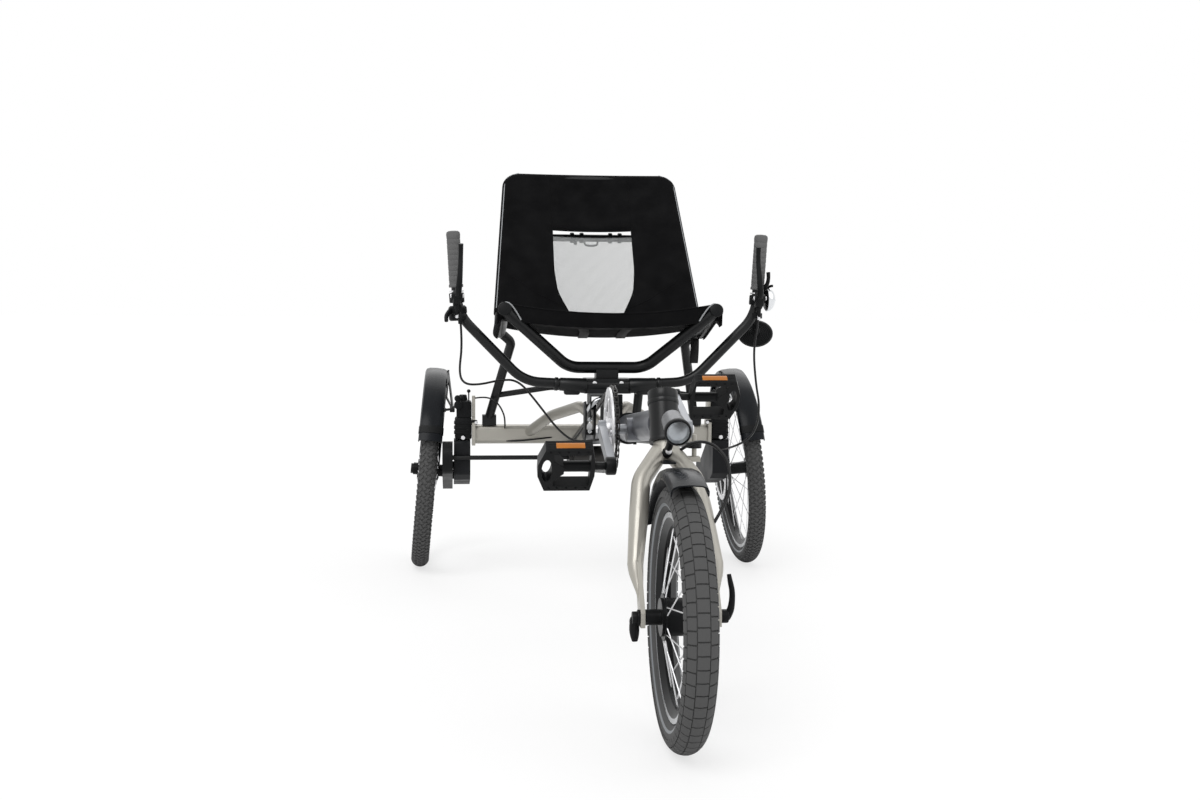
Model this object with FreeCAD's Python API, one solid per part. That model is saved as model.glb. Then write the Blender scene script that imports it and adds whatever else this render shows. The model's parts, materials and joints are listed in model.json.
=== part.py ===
import FreeCAD, Part
import math
import os

# A delta recumbent tricycle: one steered wheel in front, two cambered wheels side by side
# behind, a sling seat on bent tubes and a handlebar that turns on a post under the seat.
# +Z is up, -Y is forward and +X is the rider's left. Stations are millimetres ahead of the
# rear axle. The origin lies on the ground in the middle of the outline.

V = FreeCAD.Vector

# Wheels
WHEELBASE = 1545.0
WHEEL_REACH = 65.8
CAMBER = 5.1
REAR_R = 250.0
REAR_TYRE_W = 46.0
REAR_FOOT_W = 28.6
REAR_TREAD_W = 25.4
FRONT_R = 205.0
FRONT_TYRE_W = 52.0
FRONT_FOOT_W = 33.2
FRONT_TREAD_W = 29.0
TYRE_BULGE = 0.6
RIM_DEPTH = 19.0
RIM_FLANGE = 8.0
RIM_BED_W = 15.0
RIM_STEP = 1.0
SPOKE_R = 1.1
SPOKE_COUNT = 28
SPOKE_CROSS = 25.0
SPOKE_SPLAY = 2.5
SPOKE_SEAT = 3.0
RUNNING_FIT = 0.05
SEAT_FIT = 0.3

# Rear hubs, their stub axles and the left brake disc, along the wheel's own axle
STUB_R = 10.0
STUB_SEAT = 10.0
STUB_CAP_R = 13.0
STUB_CAP_T = 6.0
BOSS_WALL = 9.0
BOSS_GAP = 8.0
HUB_R = 15.5
HUB_FLANGE_R = 26.0
HUB_FLANGE_T = 3.5
HUB_FLANGE_X = 27.0
HUB_OUT = 38.0
HUB_IN = 46.0
HUB_SHOULDER = 6.0
DISC_R = 80.0
FRONT_DISC_R = 70.0
DISC_BAND = 16.0
DISC_T = 2.0
DISC_ARM_W = 8.0
DISC_ARMS = 6
DISC_SEAT_R = 22.0
DISC_PLAY = 2.0
CALIPER_IN = 16.0
CALIPER_OUT = 6.0
CALIPER_HALF = 26.0
CALIPER_LOW = 22.0
CALIPER_HIGH = 16.0
CALIPER_TURN = 62.0
CALIPER_LUG_R = 10.0
FRONT_CALIPER_IN = 6.0
FRONT_CALIPER_OUT = 16.0
FRONT_CALIPER_TURN = -80.0
FRONT_CALIPER_TAB = 8.0

# Rear mudguards and their stays
GUARD_GAP = 12.0
GUARD_W = 58.0
GUARD_T = 2.0
GUARD_LIP = 16.0
GUARD_FRONT = 22.0
GUARD_REAR = 192.0
STAY_R = 2.5
STAY_ANGLES = (42.0, 88.0, 135.0)
STAY_FOOT_R = 8.0
STAY_FOOT_IN = 6.0
STAY_FOOT_OUT = 2.0
STAY_FOOT_S = 190.0
STAY_FOOT_Z = 420.0

# Steering head, fork and front mudguard
HEAD_S = 1361.0
HEAD_ABOVE_AXLE = 282.5
HEAD_RAKE = 22.0
HEAD_R = 24.5
HEAD_LENGTH = 71.0
STEERER_R = 14.0
HEAD_CAP_T = 5.0
HEAD_CAP_INSET = 1.0
CROWN_R = 19.0
CROWN_H = 20.0
CROWN_GAP = 1.0
BLADE_R = 15.5
BLADE_FOOT_R = 12.5
BLADE_X = 44.0
BLADE_FOOT_X = 63.0
BLADE_ROOT_X = 6.0
BLADE_ROOT_DROP = 10.0
BLADE_BEND = 60.0
BLADE_SWEEP = 4.0
SHOULDER_DROP = 56.0
DROPOUT_X = 58.5
DROPOUT_T = 7.0
DROPOUT_RISE = 71.0
DROPOUT_LAP = 22.0
DROPOUT_HALF = 15.0
DROPOUT_FOOT_HALF = 12.0
DROPOUT_FOOT_DROP = 14.0
DROPOUT_KNEE = 8.0
FRONT_AXLE_R = 5.0
FRONT_AXLE_HALF = 72.0
AXLE_NUT_R = 9.0
LEVER_LENGTH = 62.0
LEVER_W = 12.0
LEVER_T = 6.0
FRONT_HUB_R = 29.0
FRONT_HUB_FLANGE_R = 36.0
FRONT_HUB_FLANGE_T = 3.0
FRONT_HUB_FLANGE_X = 27.0
FRONT_HUB_STEP = 4.0
FRONT_HUB_NECK_R = 12.0
FRONT_HUB_HALF = 53.5
FRONT_DISC_X = 41.0
FRONT_GUARD_GAP = 22.0
FRONT_GUARD_W = 58.0
FRONT_GUARD_FRONT = 62.0
FRONT_GUARD_REAR = 150.0
FRONT_GUARD_TAB = 118.0
FRONT_GUARD_TAB_R = 7.0
LAMP_BACK_AHEAD = 75.0
LAMP_FRONT_AHEAD = 147.0
LAMP_BACK_RISE = 11.5
LAMP_FRONT_DROP = 5.5
LAMP_R = 19.0
LAMP_RIM_R = 21.0
LAMP_RIM_T = 8.0
LAMP_STEM_R = 6.0
LAMP_FOOT_AHEAD = 30.0
LAMP_FOOT_DROP = 50.0

# Main tube, crank shell and rear beam
TUBE_R = 27.0
TUBE_HEAD_DROP = 3.5
BEAM_S = 180.0
BEAM_Z = 358.0
BEAM_SIZE = 46.0
BEAM_ROUND = 13.0
BEAM_HALF = 288.0
END_PLATE_T = 8.0
END_PLATE_HALF = 30.0
END_PLATE_DROP = 26.0
END_PLATE_RISE = 94.0
END_PLATE_NECK = 26.0
END_PLATE_SHOULDER = 28.0
END_PLATE_NECK_Z = 44.0
BRACE_R = 13.0
BRACE_BEND = 300.0
BRACE_KNEE_BEND = 45.0
BRACE_BEAM_X = 162.0
BRACE_RISE_X = 110.0
BRACE_RISE_AHEAD = 120.0
BRACE_RISE = 54.0
BRACE_KNEE_X = 50.0
BRACE_KNEE_AHEAD = 260.0
BRACE_KNEE_RISE = 60.0
BRACE_TUBE_X = 4.0
BRACE_TUBE_AHEAD = 325.0
BRACE_TUBE_RISE = 7.0
RACK_BOSS_SPACING = 120.0
RACK_BOSS_R = 2.5
FLAG_X = 279.5
FLAG_R = 3.2
FLAG_DEPTH = 31.0

# Cranks, chain ring and pedals
CRANK_S = 1138.0
CRANK_DROP = 5.3
CRANK_LENGTH = 165.0
CRANK_ANGLE = 16.8
CRANK_SHELL_R = 21.0
CRANK_SHELL_HALF = 34.0
CRANK_AXLE_R = 9.0
CRANK_AXLE_HALF = 86.0
ARM_X = 78.0
ARM_T = 13.0
ARM_W = 25.0
ARM_TIP_W = 19.0
ARM_HUB_WALL = 4.0
ARM_TIP_WALL = 3.0
RING_X = 60.0
RING_T = 3.0
RING_PITCH_R = 71.0
RING_BAND = 12.0
RING_SEAT_R = 22.0
RING_HUB_R = 20.0
GUARD_RING_R = 75.0
GUARD_RING_BAND = 13.0
GUARD_RING_T = 3.5
GUARD_RING_OUT = 3.5
SPIDER_ARMS = 5
SPIDER_W = 14.0
PEDAL_X = 155.0
PEDAL_W = 96.0
PEDAL_LENGTH = 98.0
PEDAL_T = 26.0
PEDAL_WALL = 11.0
PEDAL_HUB_R = 13.0
PEDAL_HUB_RIB = 2.0
PEDAL_AXLE_R = 6.0
PEDAL_AXLE_END = 14.0
PEDAL_NOSE_UP = 50.0
PEDAL_CORNER = 16.0

# Chain, rear gears, drive shaft, chain case and gear changer
CHAIN_W = 7.0
CHAIN_H = 8.0
CHAIN_FIT = 1.0
GEAR_AHEAD = 36.0
GEAR_Z = 303.0
GEAR_PITCH_R = 24.0
GEAR_HUB_R = 28.0
GEAR_HUB_HALF = 50.0
GEAR_PLATE_T = 6.0
GEAR_PLATE_FRONT = 16.0
GEAR_PLATE_DROP = 15.0
SHAFT_R = 5.5
CASE_IN = 3.0
CASE_T = 25.0
CASE_REAR_R = 50.0
CASE_FRONT_R = 40.0
CASE_HOLE_WALL = 5.0
CASE_LUGS = ((120.0, 275.0, 9.0), (56.0, 240.0, 7.0))
CHANGER_S = 905.0
CHANGER_HALF = 34.0
CHANGER_PLATE_T = 2.0
CHANGER_GAP_IN = 8.0
CHANGER_GAP_OUT = 15.0
CHANGER_RISE = 20.0
CHANGER_DROP = 26.0
CHANGER_BAND_W = 16.0
CHANGER_BAND_T = 4.0

# Steering post, handlebar and tie rod
POST_S = 500.0
POST_R = 13.0
CLAMP_LOW = 480.0
CLAMP_TOP = 513.0
CLAMP_HALF = 52.0
CLAMP_DEPTH = 44.0
CLAMP_ROUND = 8.0
CLAMP_LOBE_R = 16.0
CLAMP_LOBE_X = 8.0
CLAMP_BRIDGE = 14.0
BAR_R = 11.0
BAR_Z = 497.0
BAR_BEND_X = 187.0
BAR_BEND_Z = 507.0
BAR_RISE_X = 332.0
BAR_RISE_Z = 655.0
BAR_TOP_X = 343.0
BAR_TOP_Z = 833.0
BAR_BEND_R = 95.0
BAR_CENTRE_R = 600.0
BAR_FORWARD = 29.0
GRIP_R = 16.0
GRIP_LENGTH = 130.0
GRIP_CAP = 4.0
LEVER_DROP = 14.0
LEVER_RING_HALF = 11.0
LEVER_RING_WALL = 6.0
LEVER_BODY_W = 18.0
LEVER_BODY_H = 26.0
LEVER_BODY_REACH = 42.0
LEVER_BLADE_R = 5.0
LEVER_BLADE_BEND = 14.0
LEVER_BLADE_REACH = 58.0
LEVER_BLADE_TOP = 118.0
SHIFTER_DROP = 26.0
SHIFTER_LENGTH = 38.0
SHIFTER_R = 20.0
MIRROR_X = 343.0
MIRROR_Z = 614.0
MIRROR_BEHIND = 36.0
MIRROR_HALF_W = 41.0
MIRROR_HALF_H = 31.0
MIRROR_T = 14.0
MIRROR_STEM_R = 5.0
MIRROR_STEM_X = 316.0
MIRROR_STEM_Z = 639.0
BELL_R = 27.0
BELL_H = 23.0
BELL_Z = 691.0
BELL_GAP = 2.0
BELL_STEM_R = 6.0
DROP_ARM_X = 66.0
DROP_ARM_R = 10.0
DROP_FOOT_R = 9.0
DROP_FOOT_H = 22.0
DROP_FOOT_GAP = 4.0
TIE_REAR_Z = 372.0
TIE_FRONT_DROP = 37.5
TIE_R = 5.0
TIE_PIN_R = 4.0
TIE_EYE_R = 9.0
TIE_EYE_T = 9.0
TIE_EYE_WALL = 4.0
TIE_PLAY = 4.0
FORK_ARM_X = 48.0
FORK_ARM_GAP = 14.0
FORK_ARM_T = 8.0
FORK_ARM_HALF = 9.0
FORK_PIN_RISE = 17.0

# Seat frame and cloth
RAIL_R = 13.0
RAIL_FRONT_X = 232.0
RAIL_FRONT_S = 592.0
RAIL_FRONT_Z = 667.0
RAIL_HIP_X = 236.0
RAIL_HIP_S = 338.0
RAIL_HIP_Z = 600.0
RAIL_TOP_X = 202.0
RAIL_TOP_S = 60.0
RAIL_TOP_Z = 990.0
RAIL_BEND = 80.0
RAIL_CORNER = 48.0
HOOP_X = 86.0
HOOP_S = 503.0
HOOP_Z = 537.0
HOOP_BEND = 60.0
HOOP_START_SHARE = 0.03
SEAT_BLOCK_W = 50.0
SEAT_BLOCK_D = 40.0
SEAT_BLOCK_GAP = 4.0
STRUT_R = 11.0
STRUT_FOOT_IN = 34.0
STRUT_FOOT_AHEAD = 12.0
STRUT_FOOT_RISE = 19.0
STRUT_SHOE_HALF = 17.0
STRUT_SHOE_FRONT = 11.0
STRUT_SHOE_BACK = 20.0
STRUT_SHOE_LIP = 6.0
STRUT_BEND = 18.0
STRUT_HEAD_X = 206.0
STRUT_HEAD_S = 328.0
STRUT_HEAD_Z = 588.0
STRUT_END_RISE = 14.0
CROSS_BRACE_R = 7.0
CROSS_BRACE_BEND = 40.0
CROSS_BRACE_SHARE = 0.3
CROSS_BRACE_X = 110.0
CROSS_BRACE_S = 262.0
CROSS_BRACE_Z = 478.0
CROSSBAR_SHARE = 0.69
CROSSBAR_R = 9.0
CROSSBAR_SEAT = 8.0
CROSSBAR_BACK = 44.0
CROSSBAR_X = 130.0
CROSSBAR_BEND = 60.0
SLING_T = 7.0
SLING_SLEEVE = 2.5
SLING_CLEAR = 0.5
SEAT_SHARES = (0.08, 0.4, 0.80)
SEAT_SAGS = (18.0, 24.0, 24.0)
BACK_SHARES = (0.16, 0.5, 0.92)
BACK_SAGS = (26.0, 26.0, 14.0)

# Rear swing arms and spring units
SWING_GAP = 4.0
SWING_T = 40.0
SWING_ROUND = 9.0
SWING_OUTLINE = ((28.0, -14.0), (-40.0, -14.0), (-144.0, -82.0), (-206.0, -92.0),
                 (-206.0, -142.0), (-120.0, -140.0), (-4.0, -114.0), (28.0, -96.0))
UNIT_LEDGE = 6.0
UNIT_BACK = 28.0
UNIT_FRONT = 30.0
UNIT_LOW = -14.0
UNIT_HIGH = 80.0
UNIT_ROUND = 7.0
UNIT_KNOB_R = 13.0
UNIT_KNOB_H = 24.0
UNIT_KNOB_AHEAD = 12.0

# Cables: the route points of each one, as (left, station, height), and a bend for each inner point
CABLE_R = 2.6
THIN_CABLE_R = 2.0
GEAR_CABLE = ((-327.0, 545.0, 646.0), (-322.0, 541.0, 590.0), (-330.0, 506.0, 524.0), (-318.0, 472.0, 497.0),
              (-282.0, 436.0, 494.0), (-238.0, 396.0, 502.0), (-192.0, 370.0, 502.0), (-151.0, 420.0, 453.0),
              (-102.0, 480.0, 388.0), (-62.0, 520.0, 366.0), (-8.0, 566.0, 384.0))
GEAR_CABLE_BENDS = (60.0, 40.0, 30.0, 60.0, 60.0, 28.0, 60.0, 50.0, 40.0)
GEAR_SPLIT_Z = 480.0
BRAKE_CABLE = ((335.0, 556.0, 684.0), (334.0, 552.0, 640.0), (329.0, 528.0, 578.0), (347.0, 480.0, 497.0),
               (362.0, 452.0, 451.0), (366.0, 420.0, 402.0), (356.0, 378.0, 362.0), (320.0, 320.0, 334.0),
               (318.0, 200.0, 318.0))
BRAKE_CABLE_BENDS = (60.0, 80.0, 90.0, 100.0, 50.0, 50.0, 50.0)
BRAKE_SPLIT_Z = 440.0
SPLIT_GAP = 1.0
UNIT_CABLE = ((-291.0, 186.0, 446.0), (-266.0, 232.0, 454.0), (-238.0, 252.0, 444.0),
              (-220.0, 246.0, 414.0), (-216.0, 224.0, 388.0), (-216.0, 194.0, 370.0))
UNIT_CABLE_BENDS = (14.0, 18.0, 18.0, 12.0)
BEAM_CABLE = ((-228.0, 190.0, 346.0), (-216.0, 206.5, 339.0), (-92.0, 206.5, 352.0), (-81.0, 190.0, 354.0))
BEAM_CABLE_BENDS = (5.0, 5.0)
FORK_HOSE = ((14.0, 1387.0, 436.0), (38.0, 1403.0, 459.0), (72.0, 1404.0, 457.0),
             (94.0, 1420.0, 434.0), (98.0, 1432.0, 402.0), (90.0, 1452.0, 368.0), (55.0, 1467.0, 320.0))
FORK_HOSE_BENDS = (14.0, 18.0, 24.0, 30.0, 30.0)

PARTS = "parts"

REAR_SECTION_R = REAR_R - REAR_TYRE_W / 2
FRONT_SECTION_R = FRONT_R - FRONT_TYRE_W / 2
REAR_RIM_R = REAR_SECTION_R - math.sqrt(REAR_TYRE_W ** 2 - REAR_FOOT_W ** 2) / 2
FRONT_RIM_R = FRONT_SECTION_R - math.sqrt(FRONT_TYRE_W ** 2 - FRONT_FOOT_W ** 2) / 2
CAMBER_RAD = math.radians(CAMBER)
SWING_IN = BEAM_HALF + END_PLATE_T + SWING_GAP
SWING_OUT = SWING_IN + SWING_T
HUB_X = SWING_OUT + WHEEL_REACH
HUB_Z = REAR_SECTION_R * math.cos(CAMBER_RAD) + REAR_TYRE_W / 2
GUARD_R = REAR_R + GUARD_GAP
MIDDLE_S = (WHEELBASE + FRONT_R - GUARD_R - GUARD_T) / 2
RAKE_RAD = math.radians(HEAD_RAKE)
UNIT_OUT = SWING_OUT + UNIT_LEDGE
STUB_IN = (HUB_X - SWING_OUT + STUB_SEAT) / math.cos(CAMBER_RAD)
GEAR_S = BEAM_S + GEAR_AHEAD
BEAM_TOP = BEAM_Z + BEAM_SIZE / 2
BAR_S = POST_S + BAR_FORWARD
HEAD_Z = FRONT_R + HEAD_ABOVE_AXLE
TUBE_SLOPE = (HEAD_Z - TUBE_HEAD_DROP - BEAM_Z) / (HEAD_S - BEAM_S)
CRANK_Z = BEAM_Z + (CRANK_S - BEAM_S) * TUBE_SLOPE - CRANK_DROP
DROPOUT_Z = FRONT_R + DROPOUT_RISE
TIE_FRONT_Z = HEAD_Z - TIE_FRONT_DROP
TIE_PIN_S = HEAD_S + TIE_FRONT_DROP * math.tan(RAKE_RAD)

X_AXIS = V(1, 0, 0)
Y_AXIS = V(0, 1, 0)
ORIGIN = V(0, 0, 0)
STEER_UP = V(0, math.sin(RAKE_RAD), math.cos(RAKE_RAD))
SIDES = ((1, "left"), (-1, "right"))


def at(x, s, z):
    """A point from its distance to the rider's left, its station and its height."""
    return V(x, MIDDLE_S - s, z)


def save(name, shape):
    """Write one node."""
    if shape.ShapeType == "Compound" and len(shape.Solids) == 1:
        shape = shape.Solids[0]
    shape.exportStep(os.path.join(PARTS, name + ".step"))
    print(name, len(shape.Solids), "solid", round(shape.Volume / 1000.0, 1), "cm3", shape.isValid())


def largest(shape):
    """The main solid of a shape that a cut has divided."""
    return max(shape.Solids, key=lambda solid: solid.Volume)


def rod(start, end, radius):
    """A round bar between two points."""
    along = end - start
    return Part.makeCylinder(radius, along.Length, start, along)


def cone(start, end, first_r, last_r):
    """A round bar that tapers from its start to its end."""
    along = end - start
    return Part.makeCone(first_r, last_r, along.Length, start, along)


def ring(start, end, outer, inner):
    """A round bar with a bore."""
    return rod(start, end, outer).cut(rod(start, end, inner))


def block(low, high):
    """A box between two opposite corners."""
    x = sorted((low.x, high.x))
    y = sorted((low.y, high.y))
    z = sorted((low.z, high.z))
    return Part.makeBox(x[1] - x[0], y[1] - y[0], z[1] - z[0], V(x[0], y[0], z[0]))


def prism(corners, along):
    """A straight solid from a closed row of corners."""
    return Part.Face(Part.makePolygon(corners + corners[:1])).extrude(along)


def bent_path(points, bends):
    """Straight runs joined by tangent arcs, with one bend radius for each inner point."""
    edges = []
    start = points[0]
    for before, corner, after, bend in zip(points, points[1:], points[2:], bends):
        into = (corner - before).normalize()
        out = (after - corner).normalize()
        half = into.getAngle(out) / 2
        setback = bend * math.tan(half)
        first = corner - into * setback
        last = corner + out * setback
        inward = (out - into).normalize()
        middle = corner + inward * (bend / math.cos(half) - bend)
        if (first - start).Length > RUNNING_FIT:
            edges.append(Part.LineSegment(start, first).toShape())
        edges.append(Part.Arc(first, middle, last).toShape())
        start = last
    edges.append(Part.LineSegment(start, points[-1]).toShape())
    return Part.Wire(edges)


def bent_tube(points, bends, radius):
    """A round tube along a bent path."""
    path = bent_path(points, bends)
    along = points[1] - points[0]
    section = Part.Wire(Part.makeCircle(radius, points[0], along))
    return path.makePipeShell([section], True, False)


def cable(route, bends, radius):
    """A cable's round sleeve along its route points."""
    return bent_tube([at(*point) for point in route], bends, radius)


def split_cable(route, bends, height):
    """A cable's upper and lower stretch, with a level gap between them where it crosses the bar's turn."""
    whole = cable(route, bends, CABLE_R)
    room = whole.BoundBox
    room.enlarge(CABLE_R)
    floor = height + SPLIT_GAP / 2
    upper = Part.makeBox(room.XLength, room.YLength, room.ZMax - floor, V(room.XMin, room.YMin, floor))
    lower = Part.makeBox(room.XLength, room.YLength, floor - SPLIT_GAP - room.ZMin,
                         V(room.XMin, room.YMin, room.ZMin))
    return largest(whole.common(upper)), largest(whole.common(lower))


def turned(outline):
    """A solid turned about the X axis from (x, radius) corners."""
    corners = [V(x, 0, r) for x, r in outline]
    face = Part.Face(Part.makePolygon(corners + corners[:1]))
    return face.revolve(ORIGIN, X_AXIS, 360)


def plate(outline, x_low, x_high):
    """A flat plate standing fore and aft, from (station, height) corners."""
    return prism([at(x_low, s, z) for s, z in outline], V(x_high - x_low, 0, 0))


def long_edges(shape, axis, length):
    """The edges that run at least a given length along one axis."""
    return [e for e in shape.Edges if getattr(e.BoundBox, axis + "Length") > length]


def upright_edges(shape):
    """The edges that stand straight up."""
    return [e for e in shape.Edges if e.BoundBox.XLength + e.BoundBox.YLength < 1]


def mirrored(shape):
    """The other side's copy."""
    return shape.mirror(ORIGIN, X_AXIS)


def flipped(point):
    """The other side's point."""
    return V(-point.x, point.y, point.z)


def both_sides(name, left):
    """Write a left piece and its mirrored right one."""
    save(name + "_left", left)
    save(name + "_right", mirrored(left))


def one_node(name, left):
    """Write a left piece and its mirrored copy as one node."""
    save(name, Part.makeCompound([left, mirrored(left)]))


def on_rear_axle(shape):
    """Move a piece from the wheel's own frame, with its axle along X, to the left wheel."""
    shape = shape.copy()
    seat = FreeCAD.Placement(at(HUB_X, 0, HUB_Z), FreeCAD.Rotation(Y_AXIS, -CAMBER))
    shape.Placement = seat.multiply(shape.Placement)
    return shape


def on_front_axle(shape):
    """Move a piece from the wheel's own frame to the front wheel."""
    shape = shape.copy()
    seat = FreeCAD.Placement(at(0, WHEELBASE, FRONT_R), FreeCAD.Rotation())
    shape.Placement = seat.multiply(shape.Placement)
    return shape


def tyre(section_r, width, foot_w, tread_w, rim_r, camber):
    """A tyre with a flat tread that meets the ground at the wheel's camber."""
    side = width / 2 + TYRE_BULGE
    tread = tread_w / 2
    crown = section_r + (width / 2 - tread * math.sin(camber)) / math.cos(camber)
    return turned([(-foot_w / 2, rim_r), (-side, section_r), (-tread, crown),
                   (tread, crown), (side, section_r), (foot_w / 2, rim_r)])


def rim(rim_r, foot_w):
    """A deep rim as wide as the tyre's foot."""
    half = foot_w / 2 - RIM_STEP
    bed = RIM_BED_W / 2
    inner = rim_r - RIM_DEPTH
    return turned([(-half, rim_r), (half, rim_r), (half, rim_r - RIM_FLANGE), (bed, inner),
                   (-bed, inner), (-half, rim_r - RIM_FLANGE)])


def spokes(flange_x, flange_r, rim_inner):
    """Crossed spokes from both hub flanges to the rim."""
    made = []
    reach = rim_inner - SEAT_FIT
    for i in range(SPOKE_COUNT):
        side = 1 if i % 2 else -1
        lean = SPOKE_CROSS if (i // 2) % 2 else -SPOKE_CROSS
        outer = math.radians(360.0 / SPOKE_COUNT * i)
        inner = outer + math.radians(lean)
        start = V(side * flange_x, flange_r * math.sin(inner), flange_r * math.cos(inner))
        end = V(side * SPOKE_SPLAY, reach * math.sin(outer), reach * math.cos(outer))
        made.append(rod(start, end, SPOKE_R))
    return made


def disc(x, radius, bore):
    """A brake disc: a braking band on arms from a seat on the hub."""
    start = V(x, 0, 0)
    end = V(x + DISC_T, 0, 0)
    band = ring(start, end, radius, radius - DISC_BAND)
    arms = []
    for i in range(DISC_ARMS):
        arm = block(V(x, -DISC_ARM_W / 2, 0), V(x + DISC_T, DISC_ARM_W / 2, radius - DISC_BAND / 2))
        arm.rotate(ORIGIN, X_AXIS, 360.0 / DISC_ARMS * i)
        arms.append(arm)
    solid = rod(start, end, DISC_SEAT_R).fuse(arms + [band])
    return solid.cut(rod(start, end, bore)).removeSplitter()


def caliper_body(disc_x, radius, inner, outer, turn):
    """A brake caliper round the disc's edge, turned forward about the axle."""
    low = V(disc_x - inner, -CALIPER_HALF, radius - CALIPER_LOW)
    high = V(disc_x + DISC_T + outer, CALIPER_HALF, radius + CALIPER_HIGH)
    slot = rod(V(disc_x - DISC_PLAY, 0, 0), V(disc_x + DISC_T + DISC_PLAY, 0, 0), radius + DISC_PLAY)
    body = block(low, high).cut(slot)
    body.rotate(ORIGIN, X_AXIS, turn)
    return body


def guard(radius, width, start, end):
    """A mudguard: an arched strip with turned-down edges, from start to end degrees above forward."""
    half = width / 2
    low = radius - GUARD_LIP
    under = radius - GUARD_T
    outer = [(-half, low), (-half, radius), (half, radius), (half, low), (half - GUARD_T, low),
             (half - GUARD_T, under), (GUARD_T - half, under), (GUARD_T - half, low)]
    corners = [V(x, -r, 0) for x, r in outer]
    face = Part.Face(Part.makePolygon(corners + corners[:1]))
    face.rotate(ORIGIN, X_AXIS, -start)
    return face.revolve(ORIGIN, X_AXIS, start - end)


def rear_hub():
    """A rear hub with its spokes, bored for the stub axle."""
    flange = HUB_FLANGE_X
    web = flange - HUB_FLANGE_T
    bore = STUB_R + RUNNING_FIT
    neck = HUB_SHOULDER - HUB_IN
    shell = turned([(-HUB_IN, bore), (-HUB_IN, DISC_SEAT_R), (neck, DISC_SEAT_R), (neck, HUB_R),
                    (-flange, HUB_R), (-flange, HUB_FLANGE_R), (-web, HUB_FLANGE_R), (-web, HUB_R),
                    (web, HUB_R), (web, HUB_FLANGE_R), (flange, HUB_FLANGE_R), (flange, HUB_R),
                    (HUB_OUT, HUB_R), (HUB_OUT, bore)])
    laced = spokes(flange - HUB_FLANGE_T / 2, HUB_FLANGE_R - SPOKE_SEAT, REAR_RIM_R - RIM_DEPTH)
    return shell.fuse(laced)


def rear_wheels():
    """Both cambered wheels, and the brake disc on the left one."""
    rubber = tyre(REAR_SECTION_R, REAR_TYRE_W, REAR_FOOT_W, REAR_TREAD_W, REAR_RIM_R, CAMBER_RAD)
    both_sides("rear_tyre", on_rear_axle(rubber))
    both_sides("rear_rim", on_rear_axle(rim(REAR_RIM_R, REAR_FOOT_W)))
    both_sides("rear_hub", on_rear_axle(rear_hub()))
    rotor = disc(-HUB_IN - DISC_T, DISC_R, STUB_R + RUNNING_FIT)
    save("rear_disc_left", on_rear_axle(rotor))


def stub_axle():
    """The fixed axle end that a rear hub turns on, in the wheel's own frame."""
    end = HUB_OUT + SEAT_FIT
    shaft = rod(V(-STUB_IN, 0, 0), V(end, 0, 0), STUB_R)
    return shaft.fuse(rod(V(end, 0, 0), V(end + STUB_CAP_T, 0, 0), STUB_CAP_R))


def spring_unit():
    """The left spring unit's housing with its adjusting knob."""
    unit = block(at(BEAM_HALF + END_PLATE_T, BEAM_S - UNIT_BACK, BEAM_Z + UNIT_LOW),
                 at(UNIT_OUT, BEAM_S + UNIT_FRONT, BEAM_Z + UNIT_HIGH))
    unit = unit.makeFillet(UNIT_ROUND, long_edges(unit, "Z", UNIT_HIGH))
    knob_foot = at((SWING_IN + SWING_OUT) / 2, BEAM_S + UNIT_KNOB_AHEAD, BEAM_Z + UNIT_HIGH)
    knob = rod(knob_foot, knob_foot + V(0, 0, UNIT_KNOB_H), UNIT_KNOB_R)
    return unit.fuse(knob).removeSplitter()


def rear_suspension():
    """Swing arms, their spring units, the stub axles and the left brake caliper."""
    outline = [(BEAM_S + ahead, BEAM_Z + rise) for ahead, rise in SWING_OUTLINE]
    arm = plate(outline, SWING_IN, SWING_OUT)
    arm = arm.makeFillet(SWING_ROUND, long_edges(arm, "X", SWING_T - SEAT_FIT))
    stub = on_rear_axle(stub_axle())
    boss_end = V(-HUB_IN - DISC_T - BOSS_GAP, 0, 0)
    boss = on_rear_axle(rod(V(-STUB_IN - DISC_T, 0, 0), boss_end, STUB_R + BOSS_WALL))
    arm = arm.fuse(boss).cut(stub)
    one_node("stub_axles", stub)
    both_sides("rear_arm", arm)
    unit = spring_unit()
    one_node("spring_units", unit)
    disc_x = -HUB_IN - DISC_T
    body = caliper_body(disc_x, DISC_R, CALIPER_IN, CALIPER_OUT, CALIPER_TURN)
    body = on_rear_axle(body)
    middle = body.BoundBox.Center
    lug = rod(V(SWING_OUT, middle.y, middle.z), V(body.BoundBox.XMin + CALIPER_LUG_R, middle.y, middle.z),
              CALIPER_LUG_R)
    save("rear_caliper_left", body.fuse(lug).cut(arm))
    return arm, unit


def rear_guard(unit):
    """The left mudguard with its stays, from the spring unit's outer face."""
    top = GUARD_R + GUARD_T
    arch = on_rear_axle(guard(top, GUARD_W, GUARD_FRONT, GUARD_REAR))
    inner = top - GUARD_LIP / 2
    foot = at(UNIT_OUT - STAY_FOOT_IN, STAY_FOOT_S, STAY_FOOT_Z)
    pieces = [rod(foot, foot + V(STAY_FOOT_IN + STAY_FOOT_OUT, 0, 0), STAY_FOOT_R)]
    for angle in STAY_ANGLES:
        turn = math.radians(angle)
        local = V(-GUARD_W / 2, -inner * math.cos(turn), inner * math.sin(turn))
        tip = on_rear_axle(Part.Vertex(local)).Point
        pieces.append(rod(foot, tip, STAY_R))
    return arch.fuse(pieces).cut(unit)


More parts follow.
